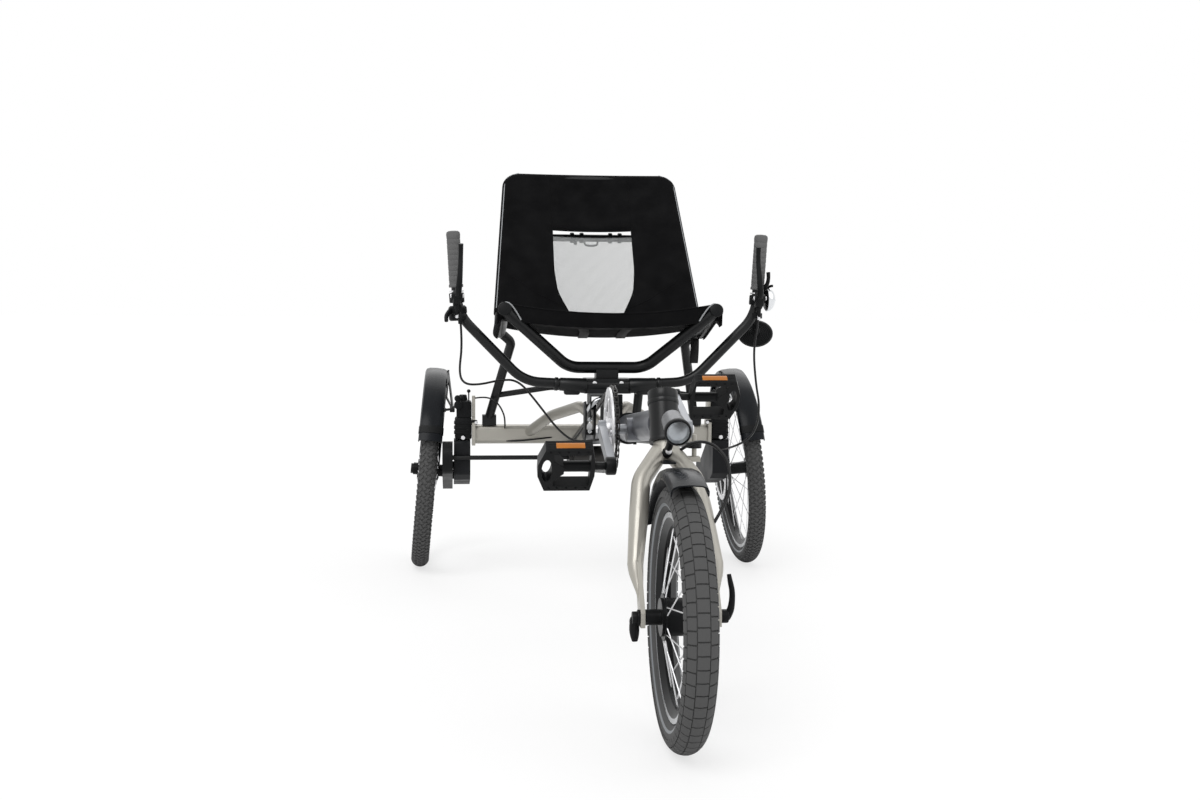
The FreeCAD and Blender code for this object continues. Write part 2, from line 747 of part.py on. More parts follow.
def rear_beam():
    """The square cross beam with its upright end plates."""
    half = BEAM_SIZE / 2
    beam = block(at(-BEAM_HALF, BEAM_S - half, BEAM_Z - half), at(BEAM_HALF, BEAM_S + half, BEAM_TOP))
    beam = beam.makeFillet(BEAM_ROUND, long_edges(beam, "X", BEAM_HALF))
    neck = END_PLATE_NECK / 2
    low = BEAM_Z - END_PLATE_DROP
    shoulder = BEAM_Z + END_PLATE_SHOULDER
    neck_z = BEAM_Z + END_PLATE_NECK_Z
    top = BEAM_Z + END_PLATE_RISE
    outline = [(BEAM_S + END_PLATE_HALF, low), (BEAM_S + END_PLATE_HALF, shoulder), (BEAM_S + neck, neck_z),
               (BEAM_S + neck, top), (BEAM_S - neck, top), (BEAM_S - neck, neck_z),
               (BEAM_S - END_PLATE_HALF, shoulder), (BEAM_S - END_PLATE_HALF, low)]
    end = plate(outline, BEAM_HALF, BEAM_HALF + END_PLATE_T)
    return beam.fuse([end, mirrored(end)])


def tube_height(ahead):
    """The main tube's middle height at a distance ahead of the beam."""
    return BEAM_Z + ahead * TUBE_SLOPE


def curved_brace():
    """The left brace, which rises from the beam and dips into the main tube behind the post."""
    rise = at(BRACE_RISE_X, BEAM_S + BRACE_RISE_AHEAD, BEAM_Z + BRACE_RISE)
    knee = at(BRACE_KNEE_X, BEAM_S + BRACE_KNEE_AHEAD, tube_height(BRACE_KNEE_AHEAD) + BRACE_KNEE_RISE)
    end = at(BRACE_TUBE_X, BEAM_S + BRACE_TUBE_AHEAD, tube_height(BRACE_TUBE_AHEAD) + BRACE_TUBE_RISE)
    return bent_tube([at(BRACE_BEAM_X, BEAM_S, BEAM_Z), rise, knee, end], [BRACE_BEND, BRACE_KNEE_BEND], BRACE_R)


def frame():
    """The main tube, head tube, crank shell, rear beam and its curved braces."""
    head_mid = at(0, HEAD_S, HEAD_Z)
    low = head_mid - STEER_UP * (HEAD_LENGTH / 2)
    high = head_mid + STEER_UP * (HEAD_LENGTH / 2)
    head = rod(low, high, HEAD_R)
    beam = rear_beam()
    tube = rod(at(0, BEAM_S, BEAM_Z), at(0, HEAD_S, HEAD_Z - TUBE_HEAD_DROP), TUBE_R)
    shell = rod(at(-CRANK_SHELL_HALF, CRANK_S, CRANK_Z), at(CRANK_SHELL_HALF, CRANK_S, CRANK_Z), CRANK_SHELL_R)
    axle_way = rod(at(-CRANK_AXLE_HALF, CRANK_S, CRANK_Z), at(CRANK_AXLE_HALF, CRANK_S, CRANK_Z),
                   CRANK_AXLE_R + RUNNING_FIT)
    tube = tube.fuse(shell).cut([axle_way, head, beam])
    save("main_tube", tube)
    save("head_tube", head.cut(rod(low, high, STEERER_R + RUNNING_FIT)))
    brace = curved_brace()
    post = rod(at(0, POST_S, BEAM_Z), at(0, POST_S, CLAMP_TOP), POST_R)
    one_node("curved_braces", largest(brace.cut([tube, beam, post])))
    back = BEAM_S - BEAM_SIZE
    boss_x = RACK_BOSS_SPACING / 2
    holes = [rod(at(x, BEAM_S, BEAM_Z), at(x, back, BEAM_Z), RACK_BOSS_R) for x in (-boss_x, boss_x)]
    holes.append(rod(at(-FLAG_X, BEAM_S, BEAM_TOP - FLAG_DEPTH), at(-FLAG_X, BEAM_S, BEAM_TOP), FLAG_R))
    beam = beam.cut(holes)
    save("rear_beam", beam)
    return tube, beam


def fork_blade(side, crown_s, crown_top_z, crown_low_z):
    """One blade, bent at its shoulder and tapered below it, with the flat dropout at its foot."""
    lean = (WHEELBASE - crown_s) / (crown_low_z - FRONT_R)
    shoulder_z = crown_top_z - SHOULDER_DROP
    shoulder_s = crown_s + (crown_low_z - shoulder_z) * lean + BLADE_SWEEP
    foot_s = WHEELBASE - (DROPOUT_Z - FRONT_R) * lean
    shoulder = at(side * BLADE_X, shoulder_s, shoulder_z)
    foot = at(side * BLADE_FOOT_X, foot_s, DROPOUT_Z)
    elbow = shoulder + (foot - shoulder).normalize() * BLADE_BEND
    blade = bent_tube([at(side * BLADE_ROOT_X, crown_s - BLADE_SWEEP, crown_top_z - BLADE_ROOT_DROP),
                       shoulder, elbow], [BLADE_BEND], BLADE_R)
    blade = blade.fuse(cone(elbow, foot, BLADE_R, BLADE_FOOT_R))
    lap_z = DROPOUT_Z + DROPOUT_LAP
    lap_s = WHEELBASE - (lap_z - FRONT_R) * lean
    low = FRONT_R - DROPOUT_FOOT_DROP
    outline = [(WHEELBASE - DROPOUT_FOOT_HALF, low), (WHEELBASE + DROPOUT_FOOT_HALF, low),
               (WHEELBASE + DROPOUT_FOOT_HALF, FRONT_R + DROPOUT_KNEE),
               (lap_s + DROPOUT_HALF, lap_z), (lap_s - DROPOUT_HALF, lap_z)]
    inner = side * (DROPOUT_X - DROPOUT_T / 2)
    return blade.fuse(plate(outline, inner, inner + side * DROPOUT_T))


def front_axle(bore):
    """The wheel's axle with a nut on its right and a quick release on its left."""
    face = DROPOUT_X + DROPOUT_T / 2
    nut = rod(at(-FRONT_AXLE_HALF, WHEELBASE, FRONT_R), at(-face, WHEELBASE, FRONT_R), AXLE_NUT_R)
    cam = rod(at(face, WHEELBASE, FRONT_R), at(FRONT_AXLE_HALF, WHEELBASE, FRONT_R), AXLE_NUT_R)
    lever = block(at(FRONT_AXLE_HALF - DISC_T, WHEELBASE - LEVER_W / 2, FRONT_R),
                  at(FRONT_AXLE_HALF - DISC_T + LEVER_T, WHEELBASE + LEVER_W / 2, FRONT_R + LEVER_LENGTH))
    return bore.fuse([nut, cam, lever]).removeSplitter()


def fork():
    """The fork with its crown, blades, dropouts and steering arm, and the front axle."""
    head_foot = at(0, HEAD_S, HEAD_Z) - STEER_UP * (HEAD_LENGTH / 2)
    head_top = at(0, HEAD_S, HEAD_Z) + STEER_UP * (HEAD_LENGTH / 2)
    crown_top = head_foot - STEER_UP * CROWN_GAP
    crown_low = crown_top - STEER_UP * CROWN_H
    crown = rod(crown_low, crown_top, CROWN_R)
    cap_base = head_top + STEER_UP * CROWN_GAP
    pieces = [rod(crown_low, cap_base, STEERER_R),
              rod(cap_base, cap_base + STEER_UP * HEAD_CAP_T, HEAD_R - HEAD_CAP_INSET)]
    crown_s = MIDDLE_S - crown_low.y
    for side in (-1, 1):
        pieces.append(fork_blade(side, crown_s, crown_top.z, crown_low.z))
    arm_top = TIE_FRONT_Z - TIE_EYE_T / 2 - FORK_ARM_GAP
    pieces.append(block(at(0, TIE_PIN_S - FORK_ARM_HALF, arm_top - FORK_ARM_T),
                        at(FORK_ARM_X + FORK_ARM_HALF, TIE_PIN_S + FORK_ARM_HALF, arm_top)))
    pieces.append(rod(at(FORK_ARM_X, TIE_PIN_S, arm_top - FORK_ARM_T / 2),
                      at(FORK_ARM_X, TIE_PIN_S, TIE_FRONT_Z + FORK_PIN_RISE), TIE_PIN_R))
    whole = crown.fuse(pieces)
    shaft = rod(at(-FRONT_AXLE_HALF, WHEELBASE, FRONT_R), at(FRONT_AXLE_HALF, WHEELBASE, FRONT_R), FRONT_AXLE_R)
    whole = whole.cut(shaft)
    save("fork", whole)
    save("front_axle", front_axle(shaft))
    return whole


def front_guard(fork_solid):
    """The front mudguard and the tab that hangs it from the crown."""
    top = FRONT_R + FRONT_GUARD_GAP
    arch = on_front_axle(guard(top, FRONT_GUARD_W, FRONT_GUARD_FRONT, FRONT_GUARD_REAR))
    turn = math.radians(FRONT_GUARD_TAB)
    reach = top - GUARD_T / 2
    foot = at(0, WHEELBASE + reach * math.cos(turn), FRONT_R + reach * math.sin(turn))
    head_foot = at(0, HEAD_S, HEAD_Z) - STEER_UP * (HEAD_LENGTH / 2 + CROWN_GAP + CROWN_H / 2)
    tab = rod(foot, head_foot, FRONT_GUARD_TAB_R)
    return arch.fuse(tab).cut(fork_solid)


def headlight(fork_solid, guard_solid):
    """The lamp barrel on a stem from the crown."""
    back = at(0, HEAD_S + LAMP_BACK_AHEAD, HEAD_Z + LAMP_BACK_RISE)
    front = at(0, HEAD_S + LAMP_FRONT_AHEAD, HEAD_Z - LAMP_FRONT_DROP)
    bezel = rod(front, front + (front - back).normalize() * LAMP_RIM_T, LAMP_RIM_R)
    middle = back + (front - back) * 0.3
    foot = at(0, HEAD_S + LAMP_FOOT_AHEAD, HEAD_Z - LAMP_FOOT_DROP)
    stem = rod(foot, middle, LAMP_STEM_R)
    return largest(rod(back, front, LAMP_R).fuse([bezel, stem]).cut([fork_solid, guard_solid]))


def front_hub():
    """The front hub with its spokes, bored for the axle."""
    flange = FRONT_HUB_FLANGE_X
    web = flange - FRONT_HUB_FLANGE_T
    step = flange + FRONT_HUB_STEP
    bore = FRONT_AXLE_R + RUNNING_FIT
    shell = FRONT_HUB_R
    wide = FRONT_HUB_FLANGE_R
    neck = FRONT_HUB_NECK_R
    hub = turned([(-FRONT_HUB_HALF, bore), (-FRONT_HUB_HALF, neck), (-step, neck), (-step, shell),
                  (-flange, shell), (-flange, wide), (-web, wide), (-web, shell),
                  (web, shell), (web, wide), (flange, wide), (flange, shell), (step, shell),
                  (step, DISC_SEAT_R), (FRONT_DISC_X, DISC_SEAT_R), (FRONT_DISC_X, neck),
                  (FRONT_HUB_HALF, neck), (FRONT_HUB_HALF, bore)])
    laced = spokes(flange - FRONT_HUB_FLANGE_T / 2, wide - SPOKE_SEAT, FRONT_RIM_R - RIM_DEPTH)
    return hub.fuse(laced)


def front_wheel(fork_solid):
    """The front wheel with its brake disc, and the caliper on the left dropout."""
    rubber = tyre(FRONT_SECTION_R, FRONT_TYRE_W, FRONT_FOOT_W, FRONT_TREAD_W, FRONT_RIM_R, 0)
    save("front_tyre", on_front_axle(rubber))
    save("front_rim", on_front_axle(rim(FRONT_RIM_R, FRONT_FOOT_W)))
    save("front_hub", on_front_axle(front_hub()))
    save("front_disc", on_front_axle(disc(FRONT_DISC_X, FRONT_DISC_R, FRONT_HUB_NECK_R)))
    body = caliper_body(FRONT_DISC_X, FRONT_DISC_R, FRONT_CALIPER_IN, FRONT_CALIPER_OUT, FRONT_CALIPER_TURN)
    body = on_front_axle(body)
    top = body.BoundBox.ZMax
    inner = DROPOUT_X - DROPOUT_T / 2
    tab = block(V(inner, body.BoundBox.Center.y, top - 2 * FRONT_CALIPER_TAB),
                V(inner + DROPOUT_T, at(0, WHEELBASE, 0).y, top))
    save("front_caliper", largest(body.fuse(tab).cut(fork_solid)))


def crank_point(x, side):
    """The pedal end of one crank arm: the right arm points forward and down."""
    turn = math.radians(CRANK_ANGLE)
    return at(x, CRANK_S + side * CRANK_LENGTH * math.cos(turn), CRANK_Z - side * CRANK_LENGTH * math.sin(turn))


def crank_arm(side):
    """A tapered arm between the axle and one pedal eye."""
    inner_x = side * (ARM_X - ARM_T / 2)
    wide = V(side * ARM_T, 0, 0)
    centre = at(inner_x, CRANK_S, CRANK_Z)
    end = crank_point(inner_x, -side)
    hub = rod(centre, centre + wide, ARM_W / 2 + ARM_HUB_WALL)
    tip = rod(end, end + wide, ARM_TIP_W / 2 + ARM_TIP_WALL)
    along = (end - centre).normalize()
    across = V(0, -along.z, along.y)
    corners = [centre + across * (ARM_W / 2), end + across * (ARM_TIP_W / 2),
               end - across * (ARM_TIP_W / 2), centre - across * (ARM_W / 2)]
    return hub.fuse([tip, prism(corners, wide)]).removeSplitter()


def chain_rings(axle):
    """The toothed ring and the bright guard ring with its spider."""
    centre = at(-RING_X, CRANK_S, CRANK_Z)
    guard_in = centre - V(GUARD_RING_OUT, 0, 0)
    guard_out = guard_in - V(GUARD_RING_T, 0, 0)
    toothed = ring(centre, centre + V(RING_T, 0, 0), RING_PITCH_R, RING_PITCH_R - RING_BAND)
    bright = ring(guard_in, guard_out, GUARD_RING_R, GUARD_RING_R - GUARD_RING_BAND)
    pieces = [rod(centre, guard_out, RING_SEAT_R),
              rod(centre, at(-ARM_X + ARM_T / 2, CRANK_S, CRANK_Z), RING_HUB_R)]
    reach = RING_PITCH_R - RING_BAND / 2
    for i in range(SPIDER_ARMS):
        leg = block(centre - V(0, SPIDER_W / 2, 0), guard_out + V(0, SPIDER_W / 2, reach))
        leg.rotate(centre, X_AXIS, 360.0 / SPIDER_ARMS * i)
        pieces.append(leg)
    save("chainring", toothed)
    save("chain_guard_ring", bright.fuse(pieces).cut(axle).removeSplitter())


def cranks():
    """The crank axle, both arms and the rings."""
    axle = rod(at(-CRANK_AXLE_HALF, CRANK_S, CRANK_Z), at(CRANK_AXLE_HALF, CRANK_S, CRANK_Z), CRANK_AXLE_R)
    save("crank_axle", axle)
    for side, name in SIDES:
        end = crank_point(side * (ARM_X - ARM_T), -side)
        pin_way = rod(end, end + V(side * 2 * ARM_T, 0, 0), PEDAL_AXLE_R + RUNNING_FIT)
        save("crank_arm_" + name, crank_arm(side).cut([axle, pin_way]))
    chain_rings(axle)


def pedals():
    """Two caged pedals on their spindles."""
    for side, name in SIDES:
        middle = crank_point(side * PEDAL_X, -side)
        reach = V(side * PEDAL_W / 2, 0, 0)
        half_s = V(0, PEDAL_LENGTH / 2, 0)
        half_t = V(0, 0, PEDAL_T / 2)
        cage = block(middle - reach - half_s - half_t, middle + reach + half_s + half_t)
        cage = cage.makeFillet(PEDAL_CORNER, upright_edges(cage))
        wall = V(side * PEDAL_WALL, 0, 0)
        holes = []
        for way in (-1, 1):
            near = V(0, way * (PEDAL_HUB_R + PEDAL_HUB_RIB), 0) - half_t * 2
            far = V(0, way * (PEDAL_LENGTH / 2 - PEDAL_WALL), 0) + half_t * 2
            holes.append(block(middle - reach + wall + near, middle + reach - wall + far))
        cage = cage.cut(holes)
        cage.rotate(middle, X_AXIS, -PEDAL_NOSE_UP)
        barrel = rod(middle - reach, middle + reach, PEDAL_HUB_R)
        start = crank_point(side * (ARM_X - ARM_T / 2), -side)
        spindle = rod(start, middle + reach - V(side * PEDAL_AXLE_END, 0, 0), PEDAL_AXLE_R)
        save("pedal_" + name, cage.fuse([barrel, spindle]))


def chain_runs():
    """The chain's upper and lower straight runs, each from the gear to the ring, as (station, height)."""
    big = RING_PITCH_R + CHAIN_FIT + CHAIN_H / 2
    small = GEAR_PITCH_R + CHAIN_FIT + CHAIN_H / 2
    span = math.hypot(CRANK_S - GEAR_S, CRANK_Z - GEAR_Z)
    slope = math.atan2(CRANK_Z - GEAR_Z, CRANK_S - GEAR_S)
    lift = math.asin((big - small) / span)
    ends = []
    for side in (1, -1):
        turn = slope + side * (math.pi / 2 + lift)
        way = (math.cos(turn), math.sin(turn))
        ends.append(((GEAR_S + small * way[0], GEAR_Z + small * way[1]),
                     (CRANK_S + big * way[0], CRANK_Z + big * way[1])))
    return ends


def chain_loop(x, grow):
    """The chain's closed outline at one x, grown outwards from its middle line."""
    slope = math.atan2(CRANK_Z - GEAR_Z, CRANK_S - GEAR_S)
    (rear_up, front_up), (rear_low, front_low) = chain_runs()

    def moved(point, centre, radius):
        away = V(0, -(point[0] - centre[0]), point[1] - centre[1]).normalize()
        return at(x, centre[0], centre[1]) + away * radius

    big = RING_PITCH_R + CHAIN_FIT + CHAIN_H / 2 + grow
    small = GEAR_PITCH_R + CHAIN_FIT + CHAIN_H / 2 + grow
    ring_c = (CRANK_S, CRANK_Z)
    gear_c = (GEAR_S, GEAR_Z)
    a = moved(rear_up, gear_c, small)
    b = moved(front_up, ring_c, big)
    c = moved(front_low, ring_c, big)
    d = moved(rear_low, gear_c, small)
    nose = at(x, CRANK_S + big * math.cos(slope), CRANK_Z + big * math.sin(slope))
    tail = at(x, GEAR_S - small * math.cos(slope), GEAR_Z - small * math.sin(slope))
    return Part.Wire([Part.LineSegment(a, b).toShape(), Part.Arc(b, nose, c).toShape(),
                      Part.LineSegment(c, d).toShape(), Part.Arc(d, tail, a).toShape()])


def chain():
    """The chain as one closed band round the ring and the rear gear."""
    x = -RING_X + (RING_T - CHAIN_W) / 2
    wide = V(CHAIN_W, 0, 0)
    outer = Part.Face(chain_loop(x, CHAIN_H / 2)).extrude(wide)
    inner = Part.Face(chain_loop(x, -CHAIN_H / 2)).extrude(wide)
    return outer.cut(inner)


def rear_gears():
    """The gear hub under the beam, hung from it by two plates, with the chain's rear gear."""
    hub = rod(at(-GEAR_HUB_HALF, GEAR_S, GEAR_Z), at(GEAR_HUB_HALF, GEAR_S, GEAR_Z), GEAR_HUB_R)
    gear_x = -RING_X + RING_T / 2
    gear = rod(at(gear_x - RING_T / 2, GEAR_S, GEAR_Z), at(gear_x + RING_T / 2, GEAR_S, GEAR_Z), GEAR_PITCH_R)
    neck = rod(at(-GEAR_HUB_HALF, GEAR_S, GEAR_Z), at(gear_x, GEAR_S, GEAR_Z), RING_HUB_R - RING_T)
    beam_low = BEAM_Z - BEAM_SIZE / 2
    low = GEAR_Z - GEAR_PLATE_DROP
    front = GEAR_S + GEAR_PLATE_FRONT
    outline = [(BEAM_S - BEAM_SIZE / 4, beam_low), (BEAM_S + BEAM_SIZE / 4, beam_low),
               (front, GEAR_Z + GEAR_PLATE_DROP), (front, low), (GEAR_S - GEAR_PLATE_FRONT, low)]
    hanger = plate(outline, GEAR_HUB_HALF - GEAR_PLATE_T, GEAR_HUB_HALF)
    return hub.fuse([gear, neck, hanger, mirrored(hanger)])


def chain_case(arm):
    """The closed case of the right wheel's own chain, carried by the right swing arm."""
    inner = SWING_OUT + CASE_IN
    outer = inner + CASE_T
    slope = math.atan2(GEAR_Z - HUB_Z, GEAR_S)
    lift = math.asin((CASE_REAR_R - CASE_FRONT_R) / math.hypot(GEAR_Z - HUB_Z, GEAR_S))
    corners = []
    for side in (1, -1):
        turn = slope + side * (math.pi / 2 - lift)
        ends = [(CASE_REAR_R * math.cos(turn), HUB_Z + CASE_REAR_R * math.sin(turn)),
                (GEAR_S + CASE_FRONT_R * math.cos(turn), GEAR_Z + CASE_FRONT_R * math.sin(turn))]
        corners += ends[::side]
    wide = V(CASE_T, 0, 0)
    body = prism([at(inner, s, z) for s, z in corners], wide)
    caps = [Part.makeCylinder(CASE_REAR_R, CASE_T, at(inner, 0, HUB_Z), X_AXIS),
            Part.makeCylinder(CASE_FRONT_R, CASE_T, at(inner, GEAR_S, GEAR_Z), X_AXIS)]
    lugs = [rod(at(SWING_OUT, s, z), at(inner + CASE_T / 2, s, z), r) for s, z, r in CASE_LUGS]
    way = on_rear_axle(rod(V(-STUB_IN, 0, 0), V(0, 0, 0), DISC_SEAT_R + CASE_HOLE_WALL))
    case = body.fuse(caps).cut(way).fuse(lugs).cut([arm, way])
    return mirrored(largest(case))


def drive_shaft():
    """The cross shaft from the gear hub to the chain case."""
    return rod(at(-RING_X, GEAR_S, GEAR_Z), at(-SWING_OUT - CASE_IN, GEAR_S, GEAR_Z), SHAFT_R)


def gear_changer(tube):
    """The front changer: a cage round the chain's upper run on a band round the main tube."""
    (rear, front), _ = chain_runs()
    share = (CHANGER_S - rear[0]) / (front[0] - rear[0])
    run_z = rear[1] + (front[1] - rear[1]) * share
    chain_in = -RING_X + (RING_T + CHAIN_W) / 2
    chain_out = chain_in - CHAIN_W
    low = run_z - CHANGER_DROP
    high = run_z + CHANGER_RISE
    back = CHANGER_S - CHANGER_HALF
    ahead = CHANGER_S + CHANGER_HALF
    inner_x = chain_in + CHANGER_GAP_IN
    outer_x = chain_out - CHANGER_GAP_OUT
    half = CHANGER_BAND_W / 2
    slope = TUBE_SLOPE
    tube_z = tube_height(CHANGER_S - BEAM_S)
    pieces = [block(at(outer_x - CHANGER_PLATE_T, back, low), at(outer_x, ahead, high)),
              block(at(inner_x + CHANGER_PLATE_T, back, low), at(inner_x, ahead, high)),
              block(at(outer_x, back, high - CHANGER_PLATE_T), at(inner_x, ahead, high)),
              block(at(inner_x, CHANGER_S - half, tube_z), at(-TUBE_R / 2, CHANGER_S + half, high))]
    band = rod(at(0, CHANGER_S - half, tube_z - half * slope), at(0, CHANGER_S + half, tube_z + half * slope),
               TUBE_R + CHANGER_BAND_T)
    return largest(band.fuse(pieces).cut(tube))


def drive(tube, arm):
    """Everything that carries the drive to the right rear wheel."""
    save("chain", chain())
    gears = rear_gears()
    save("rear_gears", gears)
    case = chain_case(arm)
    save("chain_case", case)
    save("drive_shaft", drive_shaft().cut([gears, case]))
    save("gear_changer", gear_changer(tube))


def bar_line(side):
    """The handlebar's bend, rise and top points on one side."""
    return [at(side * BAR_BEND_X, BAR_S, BAR_BEND_Z), at(side * BAR_RISE_X, BAR_S, BAR_RISE_Z),
            at(side * BAR_TOP_X, BAR_S, BAR_TOP_Z)]


def bar_controls(bar):
    """Grips, brake levers with the shifter on the right, mirror, bell and the bar's cables."""
    levers = []
    for side, name in SIDES:
        _, rise, top = bar_line(side)
        along = (rise - top).normalize()
        sleeve = rod(top, top + along * GRIP_LENGTH, GRIP_R).cut(bar)
        save("grip_" + name, sleeve.fuse(rod(top - along * GRIP_CAP, top, GRIP_R)))
        seat = top + along * (GRIP_LENGTH + LEVER_DROP)
        collar = rod(seat - along * LEVER_RING_HALF, seat + along * LEVER_RING_HALF, BAR_R + LEVER_RING_WALL)
        body = block(seat + V(-LEVER_BODY_W / 2, -LEVER_BODY_REACH, -LEVER_BODY_H / 2),
                     seat + V(LEVER_BODY_W / 2, 0, LEVER_BODY_H / 2))
        tip = V(-side * LEVER_BLADE_R, LEVER_BLADE_BEND - LEVER_BLADE_REACH, LEVER_BLADE_TOP)
        blade = bent_tube([seat + V(0, LEVER_BLADE_R - LEVER_BODY_REACH, 0),
                           seat + V(0, -LEVER_BLADE_REACH, LEVER_BODY_H), seat + tip],
                          [LEVER_BLADE_BEND], LEVER_BLADE_R)
        pieces = [body, blade]
        if side < 0:
            start = seat + along * LEVER_RING_HALF
            pieces.append(rod(start, start + along * SHIFTER_LENGTH, SHIFTER_R))
        lever = collar.fuse(pieces).cut(bar)
        save("brake_lever_" + name, lever)
        levers.append(lever)
        if side > 0:
            save("bell", bell(seat, lever))
    save("mirror", mirror(bar))
    left = split_cable(BRAKE_CABLE, BRAKE_CABLE_BENDS, BRAKE_SPLIT_Z)[0]
    right = split_cable(GEAR_CABLE, GEAR_CABLE_BENDS, GEAR_SPLIT_Z)[0]
    save("handlebar_cables", Part.makeCompound([largest(left.cut(levers[0])), largest(right.cut(levers[1]))]))


def mirror(bar):
    """The mirror's oval head on a stem from the left rise of the bar."""
    centre = at(MIRROR_X, BAR_S - MIRROR_BEHIND, MIRROR_Z)
    oval = Part.Ellipse(centre + V(MIRROR_HALF_W, 0, 0), centre + V(0, 0, MIRROR_HALF_H), centre)
    head = Part.Face(Part.Wire(oval.toShape())).extrude(V(0, MIRROR_T, 0))
    stem = rod(at(MIRROR_STEM_X, BAR_S, MIRROR_STEM_Z), centre + V(0, MIRROR_T / 2, 0), MIRROR_STEM_R)
    return largest(head.fuse(stem).cut(bar))


def bell(seat, lever):
    """A domed bell on the left brake lever's collar."""
    foot = V(seat.x + BAR_R + LEVER_RING_WALL + BELL_GAP, seat.y, BELL_Z)
    dome = turned([(0, 0), (0, BELL_R), (BELL_H * 0.35, BELL_R * 0.96), (BELL_H * 0.7, BELL_R * 0.75),
                   (BELL_H * 0.94, BELL_R * 0.36), (BELL_H, 0)])
    dome.translate(foot)
    stem = rod(foot - V(BAR_R, 0, 0), foot, BELL_STEM_R)
    return largest(dome.fuse(stem).cut(lever))


def handlebar(tube):
    """The U-shaped bar, its clamp on the steering post, and the drop arm for the tie rod."""
    post = largest(rod(at(0, POST_S, BEAM_Z), at(0, POST_S, CLAMP_TOP + SEAT_FIT), POST_R).cut(tube))
    save("steering_post", post)
    clamp = block(at(-CLAMP_HALF, POST_S - CLAMP_DEPTH / 2, CLAMP_LOW),
                  at(CLAMP_HALF, POST_S + (CLAMP_DEPTH + BAR_FORWARD) / 2, CLAMP_TOP))
    clamp = clamp.makeFillet(CLAMP_ROUND, upright_edges(clamp))
    left = bar_line(1)
    points = [flipped(p) for p in reversed(left)] + [at(0, BAR_S, BAR_Z)] + left
    bends = [BAR_BEND_R, BAR_BEND_R, BAR_CENTRE_R, BAR_BEND_R, BAR_BEND_R]
    bar = bent_tube(points, bends, BAR_R)
    save("handlebar", bar)
    lobe_x = DROP_ARM_X + CLAMP_LOBE_X
    arm = rod(at(lobe_x, POST_S, CLAMP_LOW + DROP_FOOT_GAP), at(DROP_ARM_X, POST_S, TIE_REAR_Z + DROP_FOOT_H),
              DROP_ARM_R)
    foot_z = TIE_REAR_Z + TIE_EYE_T / 2 + DROP_FOOT_GAP
    foot = rod(at(DROP_ARM_X, POST_S, foot_z), at(DROP_ARM_X, POST_S, foot_z + DROP_FOOT_H), DROP_FOOT_R)
    pin = rod(at(DROP_ARM_X, POST_S, TIE_REAR_Z - TIE_EYE_T), at(DROP_ARM_X, POST_S, foot_z), TIE_PIN_R)
    lobe = rod(at(lobe_x, POST_S, CLAMP_LOW), at(lobe_x, POST_S, CLAMP_TOP), CLAMP_LOBE_R)
    bridge = block(at(CLAMP_HALF - CLAMP_LOBE_R, POST_S - CLAMP_BRIDGE, CLAMP_LOW),
                   at(lobe_x, POST_S + CLAMP_BRIDGE, CLAMP_TOP))
    bore = rod(at(0, POST_S, CLAMP_LOW), at(0, POST_S, CLAMP_TOP), POST_R + RUNNING_FIT)
    save("bar_clamp", clamp.fuse([lobe, bridge]).cut([bore, bar, arm]))
    save("steering_arm", arm.fuse([foot, pin]))
    bar_controls(bar)
    return post


def tie_rod():
    """The rod from the drop arm's pin to the fork's pin, whose front eye has play."""
    rear = at(DROP_ARM_X, POST_S, TIE_REAR_Z)
    front = at(FORK_ARM_X, TIE_PIN_S, TIE_FRONT_Z)
    half = V(0, 0, TIE_EYE_T / 2)
    play_r = TIE_PIN_R + TIE_PLAY
    eyes = [rod(rear - half, rear + half, TIE_EYE_R), rod(front - half, front + half, play_r + TIE_EYE_WALL)]
    holes = [rod(rear - half * 2, rear + half * 2, TIE_PIN_R + RUNNING_FIT),
             rod(front - half * 2, front + half * 2, play_r)]
    save("tie_rod", rod(rear, front, TIE_R).fuse(eyes).cut(holes))


def rail_points():
    """The left seat rail's front end, hip and top."""
    return [at(RAIL_FRONT_X, RAIL_FRONT_S, RAIL_FRONT_Z), at(RAIL_HIP_X, RAIL_HIP_S, RAIL_HIP_Z),
            at(RAIL_TOP_X, RAIL_TOP_S, RAIL_TOP_Z)]


def between(first, second, share):
    return first + (second - first) * share


def seat_hoop(rails, post):
    """The front hoop under the seat, clamped on the steering post."""
    front, hip, _ = rail_points()
    start = between(front, hip, HOOP_START_SHARE)
    corner = at(HOOP_X, HOOP_S, HOOP_Z)
    hoop = bent_tube([start, corner, flipped(corner), flipped(start)], [HOOP_BEND, HOOP_BEND], RAIL_R)
    hoop = largest(hoop.cut(rails))
    seat_block = block(at(-SEAT_BLOCK_W / 2, POST_S - SEAT_BLOCK_D / 2, CLAMP_TOP + SEAT_FIT),
                       at(SEAT_BLOCK_W / 2, POST_S + SEAT_BLOCK_D / 2, HOOP_Z - SEAT_BLOCK_GAP))
    return hoop.fuse(seat_block).cut(post)


def seat_strut(rails, beam):
    """The left strut from the beam up to the rail's bend, with its shoe."""
    hip = rail_points()[1]
    foot_x = BEAM_HALF - STRUT_FOOT_IN
    foot_s = BEAM_S + STRUT_FOOT_AHEAD
    foot = at(foot_x, foot_s, BEAM_TOP + STRUT_FOOT_RISE)
    head = at(STRUT_HEAD_X, STRUT_HEAD_S, STRUT_HEAD_Z)
    shoe = block(at(foot_x - STRUT_SHOE_HALF, foot_s - STRUT_SHOE_BACK, BEAM_TOP),
                 at(foot_x + STRUT_SHOE_HALF, foot_s + STRUT_SHOE_FRONT, foot.z + STRUT_SHOE_LIP))
    tube = bent_tube([foot, head, hip + V(0, 0, STRUT_END_RISE)], [STRUT_BEND], STRUT_R)
    strut = largest(tube.fuse(shoe).cut([rails, beam]))
    return strut, between(foot, head, CROSS_BRACE_SHARE)


